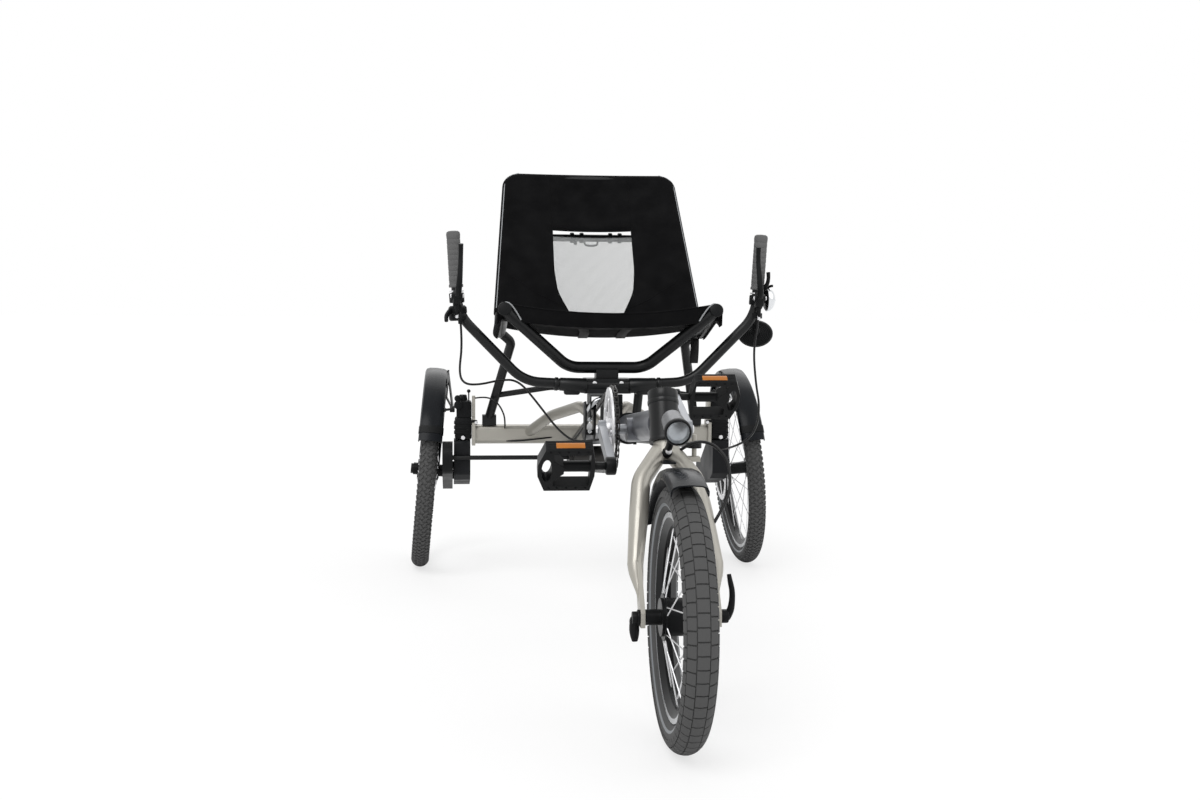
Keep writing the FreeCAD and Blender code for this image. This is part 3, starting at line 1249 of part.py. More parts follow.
def seat(beam, post):
    """The bent rails, hoop, struts, cross bars and both cloths."""
    left = rail_points()
    path = left + [flipped(p) for p in reversed(left)]
    rails = bent_tube(path, [RAIL_BEND, RAIL_CORNER, RAIL_CORNER, RAIL_BEND], RAIL_R)
    save("seat_rails", rails)
    hoop = seat_hoop(rails, post)
    save("seat_hoop", hoop)
    strut, brace_end = seat_strut(rails, beam)
    one_node("seat_struts", strut)
    knee = at(CROSS_BRACE_X, CROSS_BRACE_S, CROSS_BRACE_Z)
    brace = bent_tube([brace_end, knee, flipped(knee), flipped(brace_end)],
                      [CROSS_BRACE_BEND, CROSS_BRACE_BEND], CROSS_BRACE_R)
    save("seat_cross_brace", largest(brace.cut([strut, mirrored(strut)])))
    crossbar = seat_crossbar(rails)
    save("seat_crossbar", crossbar)
    slings(left, rails, hoop, crossbar)


def seat_crossbar(rails):
    """The bar that bows backwards between the rails, clear of the sagging cloth."""
    _, hip, top = rail_points()
    across = between(hip, top, CROSSBAR_SHARE)
    back = V(0, top.z - hip.z, hip.y - top.y).normalize()
    end = across + back * CROSSBAR_SEAT
    bow = V(CROSSBAR_X, across.y, across.z) + back * CROSSBAR_BACK
    bar = bent_tube([end, bow, flipped(bow), flipped(end)], [CROSSBAR_BEND, CROSSBAR_BEND], CROSSBAR_R)
    return largest(bar.cut(rails))


def strip(half, centre, normal, sag):
    """A sagging strip section across the seat: centre of its line, normal and depth of the sag."""
    edge = V(half, 0, 0)
    up = normal * (SLING_T / 2)
    low = normal * (-sag)
    upper = Part.Arc(centre - edge + up, centre + low + up, centre + edge + up).toShape()
    lower = Part.Arc(centre + edge - up, centre + low - up, centre - edge - up).toShape()
    ends = [Part.LineSegment(centre + edge + up, centre + edge - up).toShape(),
            Part.LineSegment(centre - edge - up, centre - edge + up).toShape()]
    return Part.Wire([upper, ends[0], lower, ends[1]])


def sling(first, second, shares, sags, cutters):
    """Cloth between the two rails of one straight stretch, with sleeves round both rails."""
    along = (second - first).normalize()
    flat = V(0, along.y, along.z).normalize()
    normal = V(0, -flat.z, flat.y)
    if normal.z < 0:
        normal = normal * -1
    wires = []
    for share, sag in zip(shares, sags):
        p = between(first, second, share)
        wires.append(strip(p.x, V(0, p.y, p.z), normal, sag))
    panel = Part.makeLoft(wires, True, False)
    a = between(first, second, shares[0])
    b = between(first, second, shares[-1])
    sleeves = [rod(a, b, RAIL_R + SLING_SLEEVE), rod(flipped(a), flipped(b), RAIL_R + SLING_SLEEVE)]
    return largest(panel.fuse(sleeves).cut(cutters))


def slings(left, rails, hoop, crossbar):
    """The seat's cloth and the back's cloth."""
    front, hip, top = left
    save("seat_sling", sling(front, hip, SEAT_SHARES, SEAT_SAGS, [rails, hoop]))
    save("back_sling", sling(hip, top, BACK_SHARES, BACK_SAGS, [rails, crossbar]))


def frame_cables(tube, beam, arm):
    """The stretches of cable that stay with the frame."""
    gear = split_cable(GEAR_CABLE, GEAR_CABLE_BENDS, GEAR_SPLIT_Z)[1]
    brake = split_cable(BRAKE_CABLE, BRAKE_CABLE_BENDS, BRAKE_SPLIT_Z)[1]
    unit = cable(UNIT_CABLE, UNIT_CABLE_BENDS, THIN_CABLE_R)
    across = cable(BEAM_CABLE, BEAM_CABLE_BENDS, THIN_CABLE_R)
    made = [gear.cut(tube), brake.cut(arm), unit.cut(beam), across.cut(beam)]
    save("frame_cables", Part.makeCompound([largest(run) for run in made]))


def main():
    os.makedirs(PARTS, exist_ok=True)
    tube, beam = frame()
    arm, unit = rear_suspension()
    rear_wheels()
    both_sides("rear_guard", rear_guard(unit))
    frame_cables(tube, beam, arm)
    fork_solid = fork()
    save("fork_hose", largest(cable(FORK_HOSE, FORK_HOSE_BENDS, CABLE_R).cut(fork_solid)))
    guard_solid = front_guard(fork_solid)
    save("front_guard", guard_solid)
    save("headlight", headlight(fork_solid, guard_solid))
    front_wheel(fork_solid)
    cranks()
    pedals()
    drive(tube, arm)
    post = handlebar(tube)
    tie_rod()
    seat(beam, post)


main()
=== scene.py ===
"""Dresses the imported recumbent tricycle: treads, cloth, chain, cables, finishes and the studio."""
import json
import math

import bmesh
import bpy
from mathutils import Matrix, Vector


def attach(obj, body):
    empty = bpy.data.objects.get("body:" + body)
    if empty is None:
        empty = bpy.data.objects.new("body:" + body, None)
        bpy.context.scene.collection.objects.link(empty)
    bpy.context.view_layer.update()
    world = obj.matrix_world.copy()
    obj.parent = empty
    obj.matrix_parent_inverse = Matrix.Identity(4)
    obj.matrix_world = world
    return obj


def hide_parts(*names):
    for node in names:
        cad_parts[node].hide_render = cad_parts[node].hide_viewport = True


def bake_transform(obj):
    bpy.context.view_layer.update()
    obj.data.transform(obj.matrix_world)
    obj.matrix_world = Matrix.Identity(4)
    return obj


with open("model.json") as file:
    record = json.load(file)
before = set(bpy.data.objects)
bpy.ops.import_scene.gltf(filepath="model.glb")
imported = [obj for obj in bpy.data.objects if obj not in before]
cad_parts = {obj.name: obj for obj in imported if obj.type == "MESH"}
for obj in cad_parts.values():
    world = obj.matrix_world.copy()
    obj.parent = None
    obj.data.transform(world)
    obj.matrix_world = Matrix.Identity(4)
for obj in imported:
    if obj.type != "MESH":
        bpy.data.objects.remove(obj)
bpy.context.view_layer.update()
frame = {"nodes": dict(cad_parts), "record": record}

bl_info = {
    "name": "Recumbent tricycle dressing",
    "version": (1, 0, 0),
    "blender": (4, 5, 0),
    "location": "3D View > Sidebar > Tricycle",
    "description": "Builds the surface pieces, finishes and studio of a recumbent tricycle",
    "category": "Add Mesh",
}

MM = 0.001
# Where the shared frame's middle lies, in millimetres ahead of the rear axle
MIDDLE_S = 743.0
CAMBER = math.radians(5.1)
HUB_X = 405.8
HUB_Z = 249.10
WHEELBASE = 1545.0
FRONT_R = 205.0
SIDES = ((1, "left"), (-1, "right"))
BOTH = (1, -1)
LEFT = Vector((1.0, 0.0, 0.0))
AHEAD = Vector((0.0, -1.0, 0.0))
UP = Vector((0.0, 0.0, 1.0))
# Points nearer than this, in metres, are one
SAME = 1e-6
# The name of the cloths' own map
CLOTH_MAP = "cloth"
# The finish of the commonest pieces, with their slot
NYLON = (["moulded_nylon"], "black_plastic")
STEEL = (["bright_steel"], "bright_steel")
BLACK_COAT = (["black_powder_coat"], "black_coat")


def at(x, s, z):
    """A point from millimetres to the rider's left, ahead of the rear axle and above the ground."""
    return Vector((x, MIDDLE_S - s, z)) * MM


def via(*points):
    """A route through points given like those of at()."""
    return [at(*p) for p in points]


def linear(code):
    """An sRGB hex value as linear light, with full alpha."""
    channels = [int(code[i:i + 2], 16) / 255 for i in (1, 3, 5)]
    return tuple(c / 12.92 if c <= 0.04045 else ((c + 0.055) / 1.055) ** 2.4 for c in channels) + (1.0,)


def length(name, description, millimetres):
    """A size property given in millimetres."""
    return bpy.props.FloatProperty(name=name, description=description, default=millimetres * MM,
                                   unit="LENGTH")


def colour(name, description, code):
    """A colour property given as an sRGB hex value."""
    return bpy.props.FloatVectorProperty(name=name, description=description, default=linear(code), size=4,
                                         subtype="COLOR", min=0.0, max=1.0)


class TRIKE_PG_colours(bpy.types.PropertyGroup):
    """Colours of the finishes"""
    silver: colour("Silver coat", "Warm silver powder coat of the fork and the rear beam", "#A3A098")
    graphite: colour("Graphite coat", "Metallic graphite powder coat of the main tube", "#5B5D62")
    black_coat: colour("Black coat", "Satin black powder coat of the seat frame and the handlebar", "#0E0F10")
    cast_grey: colour("Cast arms", "Dark grey coat of the swing arms", "#1D1E20")
    black_plastic: colour("Black plastic", "Moulded black plastic of pedals and levers", "#101112")
    guard: colour("Mudguard", "Dark slate gloss of the mudguards", "#17191C")
    tyre: colour("Tyre", "Black tyre rubber", "#1A1816")
    grip: colour("Grip", "Dark grip rubber", "#151617")
    cloth: colour("Cloth", "Black woven seat cloth", "#09090A")
    mesh: colour("Mesh", "Pale threads of the open mesh", "#9C9E9E")
    piping: colour("Piping", "Pale grey piping along the cloth's edges", "#8F9193")
    steel: colour("Steel", "Bright steel of discs, spokes and bolts", "#C9CACC")
    crank: colour("Crank", "Grey anodised crank arms", "#84868A")
    chain: colour("Chain", "Dark oiled chain steel", "#3B3A39")
    amber: colour("Reflector", "Amber pedal reflectors", "#A8620A")
    floor: colour("Floor", "Pale studio floor", "#F4F4F4")


class TRIKE_PG_sizes(bpy.types.PropertyGroup):
    """Sizes of the surface pieces"""
    rear_section: length("Rear section radius", "From the rear axle to the middle of the section", 227.0)
    rear_width: length("Rear tyre width", "Width of a rear tyre", 46.0)
    rear_foot: length("Rear tyre foot", "Width of a rear tyre at the rim", 28.6)
    front_section: length("Front section radius", "From the front axle to the middle of the section", 179.0)
    front_width: length("Front tyre width", "Width of the front tyre", 52.0)
    front_foot: length("Front tyre foot", "Width of the front tyre at the rim", 33.2)
    tread_depth: length("Tread depth", "Height of the tread blocks", 2.2)
    chain_pitch: length("Chain pitch", "Distance between two chain pins", 12.7)
    cable: length("Cable", "Diameter of a cable's sleeve", 5.2)
    thin_cable: length("Thin cable", "Diameter of a thin cable's sleeve", 4.0)
    cloth_thickness: length("Cloth thickness", "Thickness of the seat cloth", 2.4)
    piping: length("Piping", "Diameter of the piping on the cloth's edges", 3.4)


def add(tree, kind, inputs=None, **settings):
    """Add one node with its settings; an input given another node's output is linked to it."""
    made = tree.nodes.new(kind)
    for key, value in settings.items():
        setattr(made, key, value)
    for key, value in (inputs or {}).items():
        if isinstance(value, bpy.types.NodeSocket):
            tree.links.new(value, made.inputs[key])
        else:
            made.inputs[key].default_value = value
    return made


def blank(name):
    """A new material with an output and nothing else, and its tree."""
    material = bpy.data.materials.new(name)
    material.use_nodes = True
    tree = material.node_tree
    tree.nodes.clear()
    return material, tree


def shaded(base, share):
    """A colour made darker or lighter by a share."""
    return tuple(min(1.0, c * (1 + share)) for c in base[:3]) + (1.0,)


def surface(name, base, roughness, metallic=0.0, grain=1.0, depth=0.02, patch=60.0, drift=0.08, **sockets):
    """A finish whose colour and gloss drift over patches above a fine grain; sizes in millimetres."""
    material, tree = blank(name)
    where = add(tree, "ShaderNodeTexCoord").outputs["Object"]
    patches = add(tree, "ShaderNodeTexNoise", {"Vector": where, "Scale": 1000 / patch, "Detail": 3.0})
    grains = add(tree, "ShaderNodeTexNoise", {"Vector": where, "Scale": 1000 / grain, "Detail": 2.0})
    share = patches.outputs["Fac"]
    tint = add(tree, "ShaderNodeMix", {0: share, 6: shaded(base, -drift), 7: shaded(base, drift)},
               data_type="RGBA")
    gloss = add(tree, "ShaderNodeMapRange", {
        "Value": share, "From Min": 0.3, "From Max": 0.7,
        "To Min": roughness * 0.85, "To Max": min(1.0, roughness * 1.15)})
    bump = add(tree, "ShaderNodeBump",
               {"Height": grains.outputs["Fac"], "Distance": depth * MM, "Strength": 0.6})
    named = {key.replace("_", " "): value for key, value in sockets.items()}
    shader = add(tree, "ShaderNodeBsdfPrincipled",
                 {"Base Color": tint.outputs[2], "Roughness": gloss.outputs["Result"],
                  "Normal": bump.outputs["Normal"], "Metallic": metallic, **named}, name="shader")
    add(tree, "ShaderNodeOutputMaterial", {"Surface": shader.outputs["BSDF"]})
    return material


def relief(material, waves, spacing, height, strength):
    """Raise a finish where either of two waves at a spacing in millimetres is high; gives their output."""
    tree = material.node_tree
    scale = 2 * math.pi / (20 * spacing * MM)
    highs = [add(tree, "ShaderNodeTexWave", {"Vector": where, "Scale": scale}, bands_direction=way)
             for where, way in waves]
    cross = add(tree, "ShaderNodeMath", {i: high.outputs["Fac"] for i, high in enumerate(highs)},
                operation="MAXIMUM").outputs["Value"]
    bump = add(tree, "ShaderNodeBump", {"Height": cross, "Distance": height * MM, "Strength": strength})
    tree.links.new(bump.outputs["Normal"], tree.nodes["shader"].inputs["Normal"])
    return cross


def woven(name, base, spacing, see_through=False):
    """Woven cloth: threads crossing at a spacing in millimetres along the piece's own map in metres."""
    material = surface(name, base, 0.9, grain=0.8, depth=0.05, patch=45.0, drift=0.06,
                       Specular_IOR_Level=0.08)
    tree = material.node_tree
    where = add(tree, "ShaderNodeUVMap", uv_map=CLOTH_MAP).outputs["UV"]
    cross = relief(material, ((where, "X"), (where, "Y")), spacing, 0.25, 0.5)
    if see_through:
        hole = add(tree, "ShaderNodeMapRange", {"Value": cross, "From Min": 0.82, "From Max": 0.97})
        tree.links.new(hole.outputs["Result"], tree.nodes["shader"].inputs["Alpha"])
    return material


def diamond_rubber(name, base):
    """Grip rubber with a raised diamond pattern about 6 mm across."""
    material = surface(name, base, 0.62, grain=0.7, depth=0.03, Specular_IOR_Level=0.06)
    tree = material.node_tree
    where = add(tree, "ShaderNodeTexCoord").outputs["Object"]
    leaning = [add(tree, "ShaderNodeMapping", {"Vector": where, "Rotation": (0.0, math.radians(lean), 0.0)})
               for lean in (45, -45)]
    relief(material, [(turn.outputs["Vector"], "X") for turn in leaning], 6.0, 0.6, 0.8)
    return material


def colours():
    """The colours set in the scene."""
    return bpy.context.scene.trike_colours


def sizes():
    """The sizes set in the scene."""
    return bpy.context.scene.trike_sizes


def recipes():
    """How each finish is made, by name; roughness and metallic are typical of the real material."""
    c = colours()
    return {
        # Polyester powder coat with metal flake: a soft broad highlight over slight orange peel
        "silver_powder_coat": lambda n: surface(n, c.silver, 0.36, 0.45, grain=2.4, depth=0.02, drift=0.05),
        "graphite_powder_coat": lambda n: surface(n, c.graphite, 0.34, 0.5, grain=2.4, depth=0.02,
                                                  drift=0.06),
        # Satin black powder coat: dark with a plain pale sheen
        "black_powder_coat": lambda n: surface(n, c.black_coat, 0.36, grain=2.0, depth=0.02, drift=0.15,
                                               Specular_IOR_Level=0.25),
        # Sand-cast aluminium under paint: the sand's pebbles show through
        "cast_aluminium": lambda n: surface(n, c.cast_grey, 0.5, grain=1.6, depth=0.06, drift=0.12,
                                            Specular_IOR_Level=0.1),
        # Nylon moulding with a spark-eroded skin: even and dull
        "moulded_nylon": lambda n: surface(n, c.black_plastic, 0.42, grain=0.8, depth=0.03, drift=0.15,
                                           Specular_IOR_Level=0.12),
        # Polycarbonate mudguard: hard gloss, a shallow wave from the mould
        "mudguard_polycarbonate": lambda n: surface(n, c.guard, 0.26, grain=30.0, depth=0.1, drift=0.08,
                                                    Specular_IOR_Level=0.1),
        # Vulcanised rubber: nearly black and dusty at the high spots
        "tyre_rubber": lambda n: surface(n, c.tyre, 0.7, grain=1.2, depth=0.05, patch=20.0, drift=0.3,
                                         Specular_IOR_Level=0.05),
        # Glass-bead reflecting tape on the sidewall
        "reflecting_tape": lambda n: surface(n, linear("#6C7074"), 0.4, 0.3, grain=0.6, depth=0.02),
        # Soft elastomer with a diamond relief that gives the hand hold
        "grip_rubber": lambda n: diamond_rubber(n, c.grip),
        # Hard black anodising on aluminium
        "anodised_black": lambda n: surface(n, linear("#0F1011"), 0.36, 0.4, grain=0.9, depth=0.01, drift=0.1,
                                            Specular_IOR_Level=0.25),
        # Turned bare aluminium: bright with fine lines
        "machined_aluminium": lambda n: surface(n, linear("#B9BBBD"), 0.28, 1.0, grain=0.5, depth=0.01),
        # Polished steel of spokes, discs and bolts
        "bright_steel": lambda n: surface(n, c.steel, 0.24, 1.0, grain=1.2, depth=0.008, drift=0.06),
        # Anodised and bead-blasted crank arms
        "anodised_grey": lambda n: surface(n, c.crank, 0.36, 0.85, grain=0.6, depth=0.01, drift=0.05),
        # Rolled steel under a film of oil
        "oiled_steel": lambda n: surface(n, c.chain, 0.34, 0.9, grain=1.0, depth=0.02, patch=12.0,
                                         drift=0.35),
        # Turned and anodised lamp body: darker than bare metal, with fine lines
        "anodised_lamp": lambda n: surface(n, linear("#6E6F71"), 0.34, 0.9, grain=0.5, depth=0.01),
        # Chrome plate: a clean mirror
        "chrome_plate": lambda n: surface(n, linear("#DADCDE"), 0.08, 1.0, grain=20.0, depth=0.02,
                                          drift=0.02),
        # Extruded vinyl sleeve over a steel cable: smooth and softly glossy
        "cable_sleeve": lambda n: surface(n, linear("#121213"), 0.4, grain=1.0, depth=0.01,
                                          Specular_IOR_Level=0.25),
        # Prismatic acrylic reflector: glossy over a ribbed back
        "amber_reflector": lambda n: surface(n, c.amber, 0.15, grain=2.5, depth=0.3, drift=0.25),
        # Polyester cloth in a plain weave: matt, with the threads just showing
        "seat_cloth": lambda n: woven(n, c.cloth, 1.6),
        # Open spacer mesh: its real holes are about 1 mm and are drawn 2.6 mm apart so that they show
        "seat_mesh": lambda n: woven(n, c.mesh, 2.6, see_through=True),
        # Braided cord sewn into the cloth's edges
        "seat_piping": lambda n: surface(n, c.piping, 0.6, grain=0.8, depth=0.05),
        # Ribbed nylon webbing
        "webbing": lambda n: surface(n, linear("#0D0D0E"), 0.7, grain=1.5, depth=0.12,
                                     Specular_IOR_Level=0.3),
        # Clear glass lens
        "lamp_glass": lambda n: surface(n, linear("#F2F4F6"), 0.06, grain=6.0, depth=0.02, drift=0.01,
                                        Transmission_Weight=1.0, IOR=1.49),
        # Silvered glass
        "mirror_glass": lambda n: surface(n, linear("#E6E8EA"), 0.03, 1.0, grain=40.0, depth=0.002,
                                          drift=0.01),
    }


def finish(name):
    """A finish by name, made when it is first asked for."""
    return bpy.data.materials.get(name) or recipes()[name](name)


# The finish of each slot of the record
SLOT_FINISH = {
    "frame_silver": "silver_powder_coat",
    "frame_graphite": "graphite_powder_coat",
    "black_coat": "black_powder_coat",
    "arm_grey": "cast_aluminium",
    "tyre_rubber": "tyre_rubber",
    "rim_black": "anodised_black",
    "hub_black": "anodised_black",
    "bright_steel": "bright_steel",
    "crank_grey": "anodised_grey",
    "chain_steel": "oiled_steel",
    "black_plastic": "moulded_nylon",
    "guard_plastic": "mudguard_polycarbonate",
    "grip_rubber": "grip_rubber",
    "sling_cloth": "seat_cloth",
    "lamp_grey": "machined_aluminium",
    "cable_black": "cable_sleeve",
}


def wheel(name):
    """The matrix that seats a wheel's own frame, axle along X, at its hub."""
    if name == "front":
        return Matrix.Translation(at(0, WHEELBASE, FRONT_R))
    side = 1 if name == "left" else -1
    return Matrix.Translation(at(side * HUB_X, 0, HUB_Z)) @ Matrix.Rotation(-side * CAMBER, 4, "Y")


def facing(point, way):
    """A seat at a point whose X axis points along a way."""
    return Matrix.Translation(point) @ way.to_track_quat("X", "Z").to_matrix().to_4x4()


def added(bm, before):
    """What a bmesh gained since it held the given faces."""
    faces = [f for f in bm.faces if f not in before]
    return faces, list({v for f in faces for v in f.verts})


def second_finish(bm, before):
    """Give what a bmesh gained its second finish."""
    for face in added(bm, before)[0]:
        face.material_index = 1


# The shapes below take places and ways as vectors in metres, and sizes in millimetres
def rim_edges(verts, sides):
    """The edges round the caps of a cylinder."""
    return list({e for v in verts for e in v.link_edges if any(len(f.verts) == sides for f in e.link_faces)})


def rounded(bm, edges, width):
    """Bevel some edges."""
    bmesh.ops.bevel(bm, geom=edges, offset=width * MM, offset_type="OFFSET", segments=2, profile=0.5,
                    affect="EDGES", material=-1)


def cylinder(bm, start, end, radius, tip=None, sides=32, edge=0.0):
    """A round or tapered bar between two points, with rounded ends."""
    way = end - start
    made = bmesh.ops.create_cone(bm, cap_ends=True, segments=sides, radius1=radius * MM,
                                 radius2=(radius if tip is None else tip) * MM, depth=way.length)["verts"]
    seat = Matrix.Translation((start + end) / 2) @ way.to_track_quat("Z", "Y").to_matrix().to_4x4()
    bmesh.ops.transform(bm, matrix=seat, verts=made)
    if edge:
        rounded(bm, rim_edges(made, sides), edge)


def ball(bm, centre, radius, stretch=(1.0, 1.0, 1.0)):
    """A ball, or an oval when stretched."""
    seat = Matrix.Translation(centre) @ Matrix.Diagonal((*stretch, 1.0))
    bmesh.ops.create_uvsphere(bm, u_segments=20, v_segments=12, radius=radius * MM, matrix=seat)


def box(bm, low, high, edge=0.0, turn=None):
    """A block between two opposite corners, with rounded edges."""
    made = bmesh.ops.create_cube(bm, size=1.0)["verts"]
    size = [abs(b - a) for a, b in zip(low, high)]
    seat = Matrix.Translation((low + high) / 2) @ (turn or Matrix.Identity(4)) @ Matrix.Diagonal((*size, 1.0))
    bmesh.ops.transform(bm, matrix=seat, verts=made)
    if edge:
        rounded(bm, list({e for v in made for e in v.link_edges}), edge)


def slab(bm, corners, way, edge=0.0):
    """A plate from its corners and the way it is thick."""
    face = bm.faces.new([bm.verts.new(c) for c in corners])
    foot = list(face.verts)
    made = bmesh.ops.extrude_face_region(bm, geom=[face])["geom"]
    top = [v for v in made if isinstance(v, bmesh.types.BMVert)]
    bmesh.ops.translate(bm, vec=way, verts=top)
    if edge:
        rounded(bm, list({e for v in top + foot for e in v.link_edges}), edge)


def lathe(bm, profile, seat, steps=72, closed=True):
    """A shape turned about the seat's X axis from (x, radius) corners in millimetres."""
    before = set(bm.faces)
    verts = [bm.verts.new((x * MM, 0, r * MM)) for x, r in profile]
    edges = [bm.edges.new(pair) for pair in zip(verts, verts[1:])]
    if closed:
        edges.append(bm.edges.new((verts[-1], verts[0])))
    bmesh.ops.spin(bm, geom=verts + edges, cent=(0, 0, 0), axis=(1, 0, 0), angle=2 * math.pi, steps=steps,
                   use_merge=True)
    faces, new = added(bm, before)
    bmesh.ops.transform(bm, matrix=seat, verts=new)
    return faces


def around(bm, verts, count):
    """Repeat loose pieces round the X axis."""
    edges = list({e for v in verts for e in v.link_edges})
    faces = list({f for v in verts for f in v.link_faces})
    bmesh.ops.spin(bm, geom=verts + edges + faces, cent=(0, 0, 0), axis=(1, 0, 0),
                   angle=2 * math.pi * (count - 1) / count, steps=count - 1, use_duplicate=True)


def bolt(bm, head, way, radius, height):
    """A socket-head bolt: a round head with a hexagon marked on it."""
    way = way.normalized() * MM
    end = head + way * height
    cylinder(bm, head, end, radius, sides=18, edge=radius * 0.12)
    cylinder(bm, end - way * height * 0.6, end + way * 0.05, radius * 0.5, sides=6)


def turned(bm, profile, point, way, **options):
    """A lathe shape whose axis starts at a point and runs along a way."""
    lathe(bm, profile, facing(point, way), **options)


def linked(name, data):
    """A new object in the scene."""
    obj = bpy.data.objects.new(name, data)
    bpy.context.scene.collection.objects.link(obj)
    return obj


def mesh_of(name, bm):
    """A mesh from a bmesh, which is freed."""
    mesh = bpy.data.meshes.new(name)
    bm.to_mesh(mesh)
    bm.free()
    return mesh


def tidied(bm):
    """Merge the points of a bmesh that are one and turn its faces outwards."""
    bmesh.ops.remove_doubles(bm, verts=bm.verts, dist=SAME)
    bmesh.ops.recalc_face_normals(bm, faces=bm.faces)


def curve_of(name, routes, diameter, widths=None):
    """Round cords, each smooth through its route's points, as one curve object; the diameter is in metres."""
    curve = bpy.data.curves.new(name, "CURVE")
    curve.dimensions = "3D"
    curve.bevel_depth = diameter / 2
    curve.bevel_resolution = 3
    curve.use_fill_caps = True
    for route in routes:
        spline = curve.splines.new("NURBS")
        spline.points.add(len(route) - 1)
        for i, (point, place) in enumerate(zip(spline.points, route)):
            point.co = (*place, 1.0)
            point.radius = widths[i] if widths else 1.0
        spline.order_u = 3
        spline.use_endpoint_u = True
        spline.resolution_u = 8
    return linked(name, curve)


def meshed(obj):
    """The mesh of an object, which is then removed."""
    bpy.context.view_layer.update()
    graph = bpy.context.evaluated_depsgraph_get()
    mesh = bpy.data.meshes.new_from_object(obj.evaluated_get(graph))
    bpy.data.objects.remove(obj)
    return mesh


def swept(bm, route, diameter, widths=None):
    """A round bar along a smooth route, with a share of its diameter at each point."""
    bm.from_mesh(meshed(curve_of("bar", [route], diameter * MM, widths)))


def carved(bm, cutter):
    """A shape less another."""
    made = []
    for shape in (bm, cutter):
        tidied(shape)
        made.append(linked("carving", mesh_of("carving", shape)))
    cut = made[0].modifiers.new("Cut", "BOOLEAN")
    cut.operation = "DIFFERENCE"
    cut.solver = "EXACT"
    cut.object = made[1]
    out = bmesh.new()
    out.from_mesh(meshed(made[0]))
    bpy.data.objects.remove(made[1])
    return out


def told(obj, body, stands_for):
    if body:
        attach(obj, body)
    if stands_for:
        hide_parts(*stands_for)


def placed(name, mesh, body, finishes, stands_for=(), sharp=38.0):
    """Link a finished mesh as a piece on a body."""
    obj = linked(name, mesh)
    for item in finishes:
        mesh.materials.append(finish(item))
    mesh.polygons.foreach_set("use_smooth", [True] * len(mesh.polygons))
    mesh.set_sharp_from_angle(angle=math.radians(sharp))
    told(obj, body, stands_for)
    return obj


def piece(name, bm, body, finishes, slot, stands_for=(), sharp=38.0, edge=0.0):
    """Turn a bmesh into a piece on a body, with its sharp edges rounded where an edge is given."""
    tidied(bm)
    obj = placed(name, mesh_of(name, bm), body, finishes, stands_for, sharp)
    if edge:
        bevel = obj.modifiers.new("Edge", "BEVEL")
        bevel.width = edge * MM
        bevel.segments = 2
        bevel.limit_method = "ANGLE"
    return obj


def line(name, routes, diameter, body, material, stands_for=()):
    """Round cords as one piece that stays a curve."""
    obj = curve_of(name, routes, diameter)
    obj.data.materials.append(finish(material))
    told(obj, body, stands_for)


def mirrored(value, side):
    """A place, a way or a route, mirrored in the middle plane where the side is -1."""
    if isinstance(value, list):
        return [mirrored(item, side) for item in value]
    return Vector((side * value.x, value.y, value.z)) if isinstance(value, Vector) else value


def draw(bm, shapes, sides=(1,)):
    """Draw rows of (function, its values, its options if any), given for the left side, on some sides."""
    for side in sides:
        for make, *values in shapes:
            options = values.pop() if isinstance(values[-1], dict) else {}
            make(bm, *(mirrored(value, side) for value in values), **options)


def assembled(name, body, look, shapes, sides=(1,), stands_for=()):
    """A piece on a body from rows of shapes."""
    bm = bmesh.new()
    draw(bm, shapes, sides)
    piece(name, bm, body, *look, stands_for)


def thicken(obj, thickness):
    """Give a cloth its thickness, in metres, half to each side."""
    thick = obj.modifiers.new("Thickness", "SOLIDIFY")
    thick.thickness = thickness
    thick.offset = 0.0


WHITE = (1.0, 1.0, 1.0, 1.0)
FLOOR_HALF = 60.0
# Name, the way the light comes from, its strength and the width of its disc in degrees
SUNS = (("key", (-0.45, -0.75, 1.0), 1.5, 35.0), ("fill", (0.9, -0.4, 0.7), 0.6, 60.0),
        ("back", (0.1, 0.9, 0.9), 0.7, 50.0))
# The photograph's camera, solved from the wheels and the floor: place in metres, turns in degrees, lens in mm
CAMERA_PLACE = (-0.34586, -2.87309, 0.67771)
CAMERA_HEADING = -6.082
CAMERA_DIP = 3.911
CAMERA_ROLL = 0.43
CAMERA_LENS = 41.901


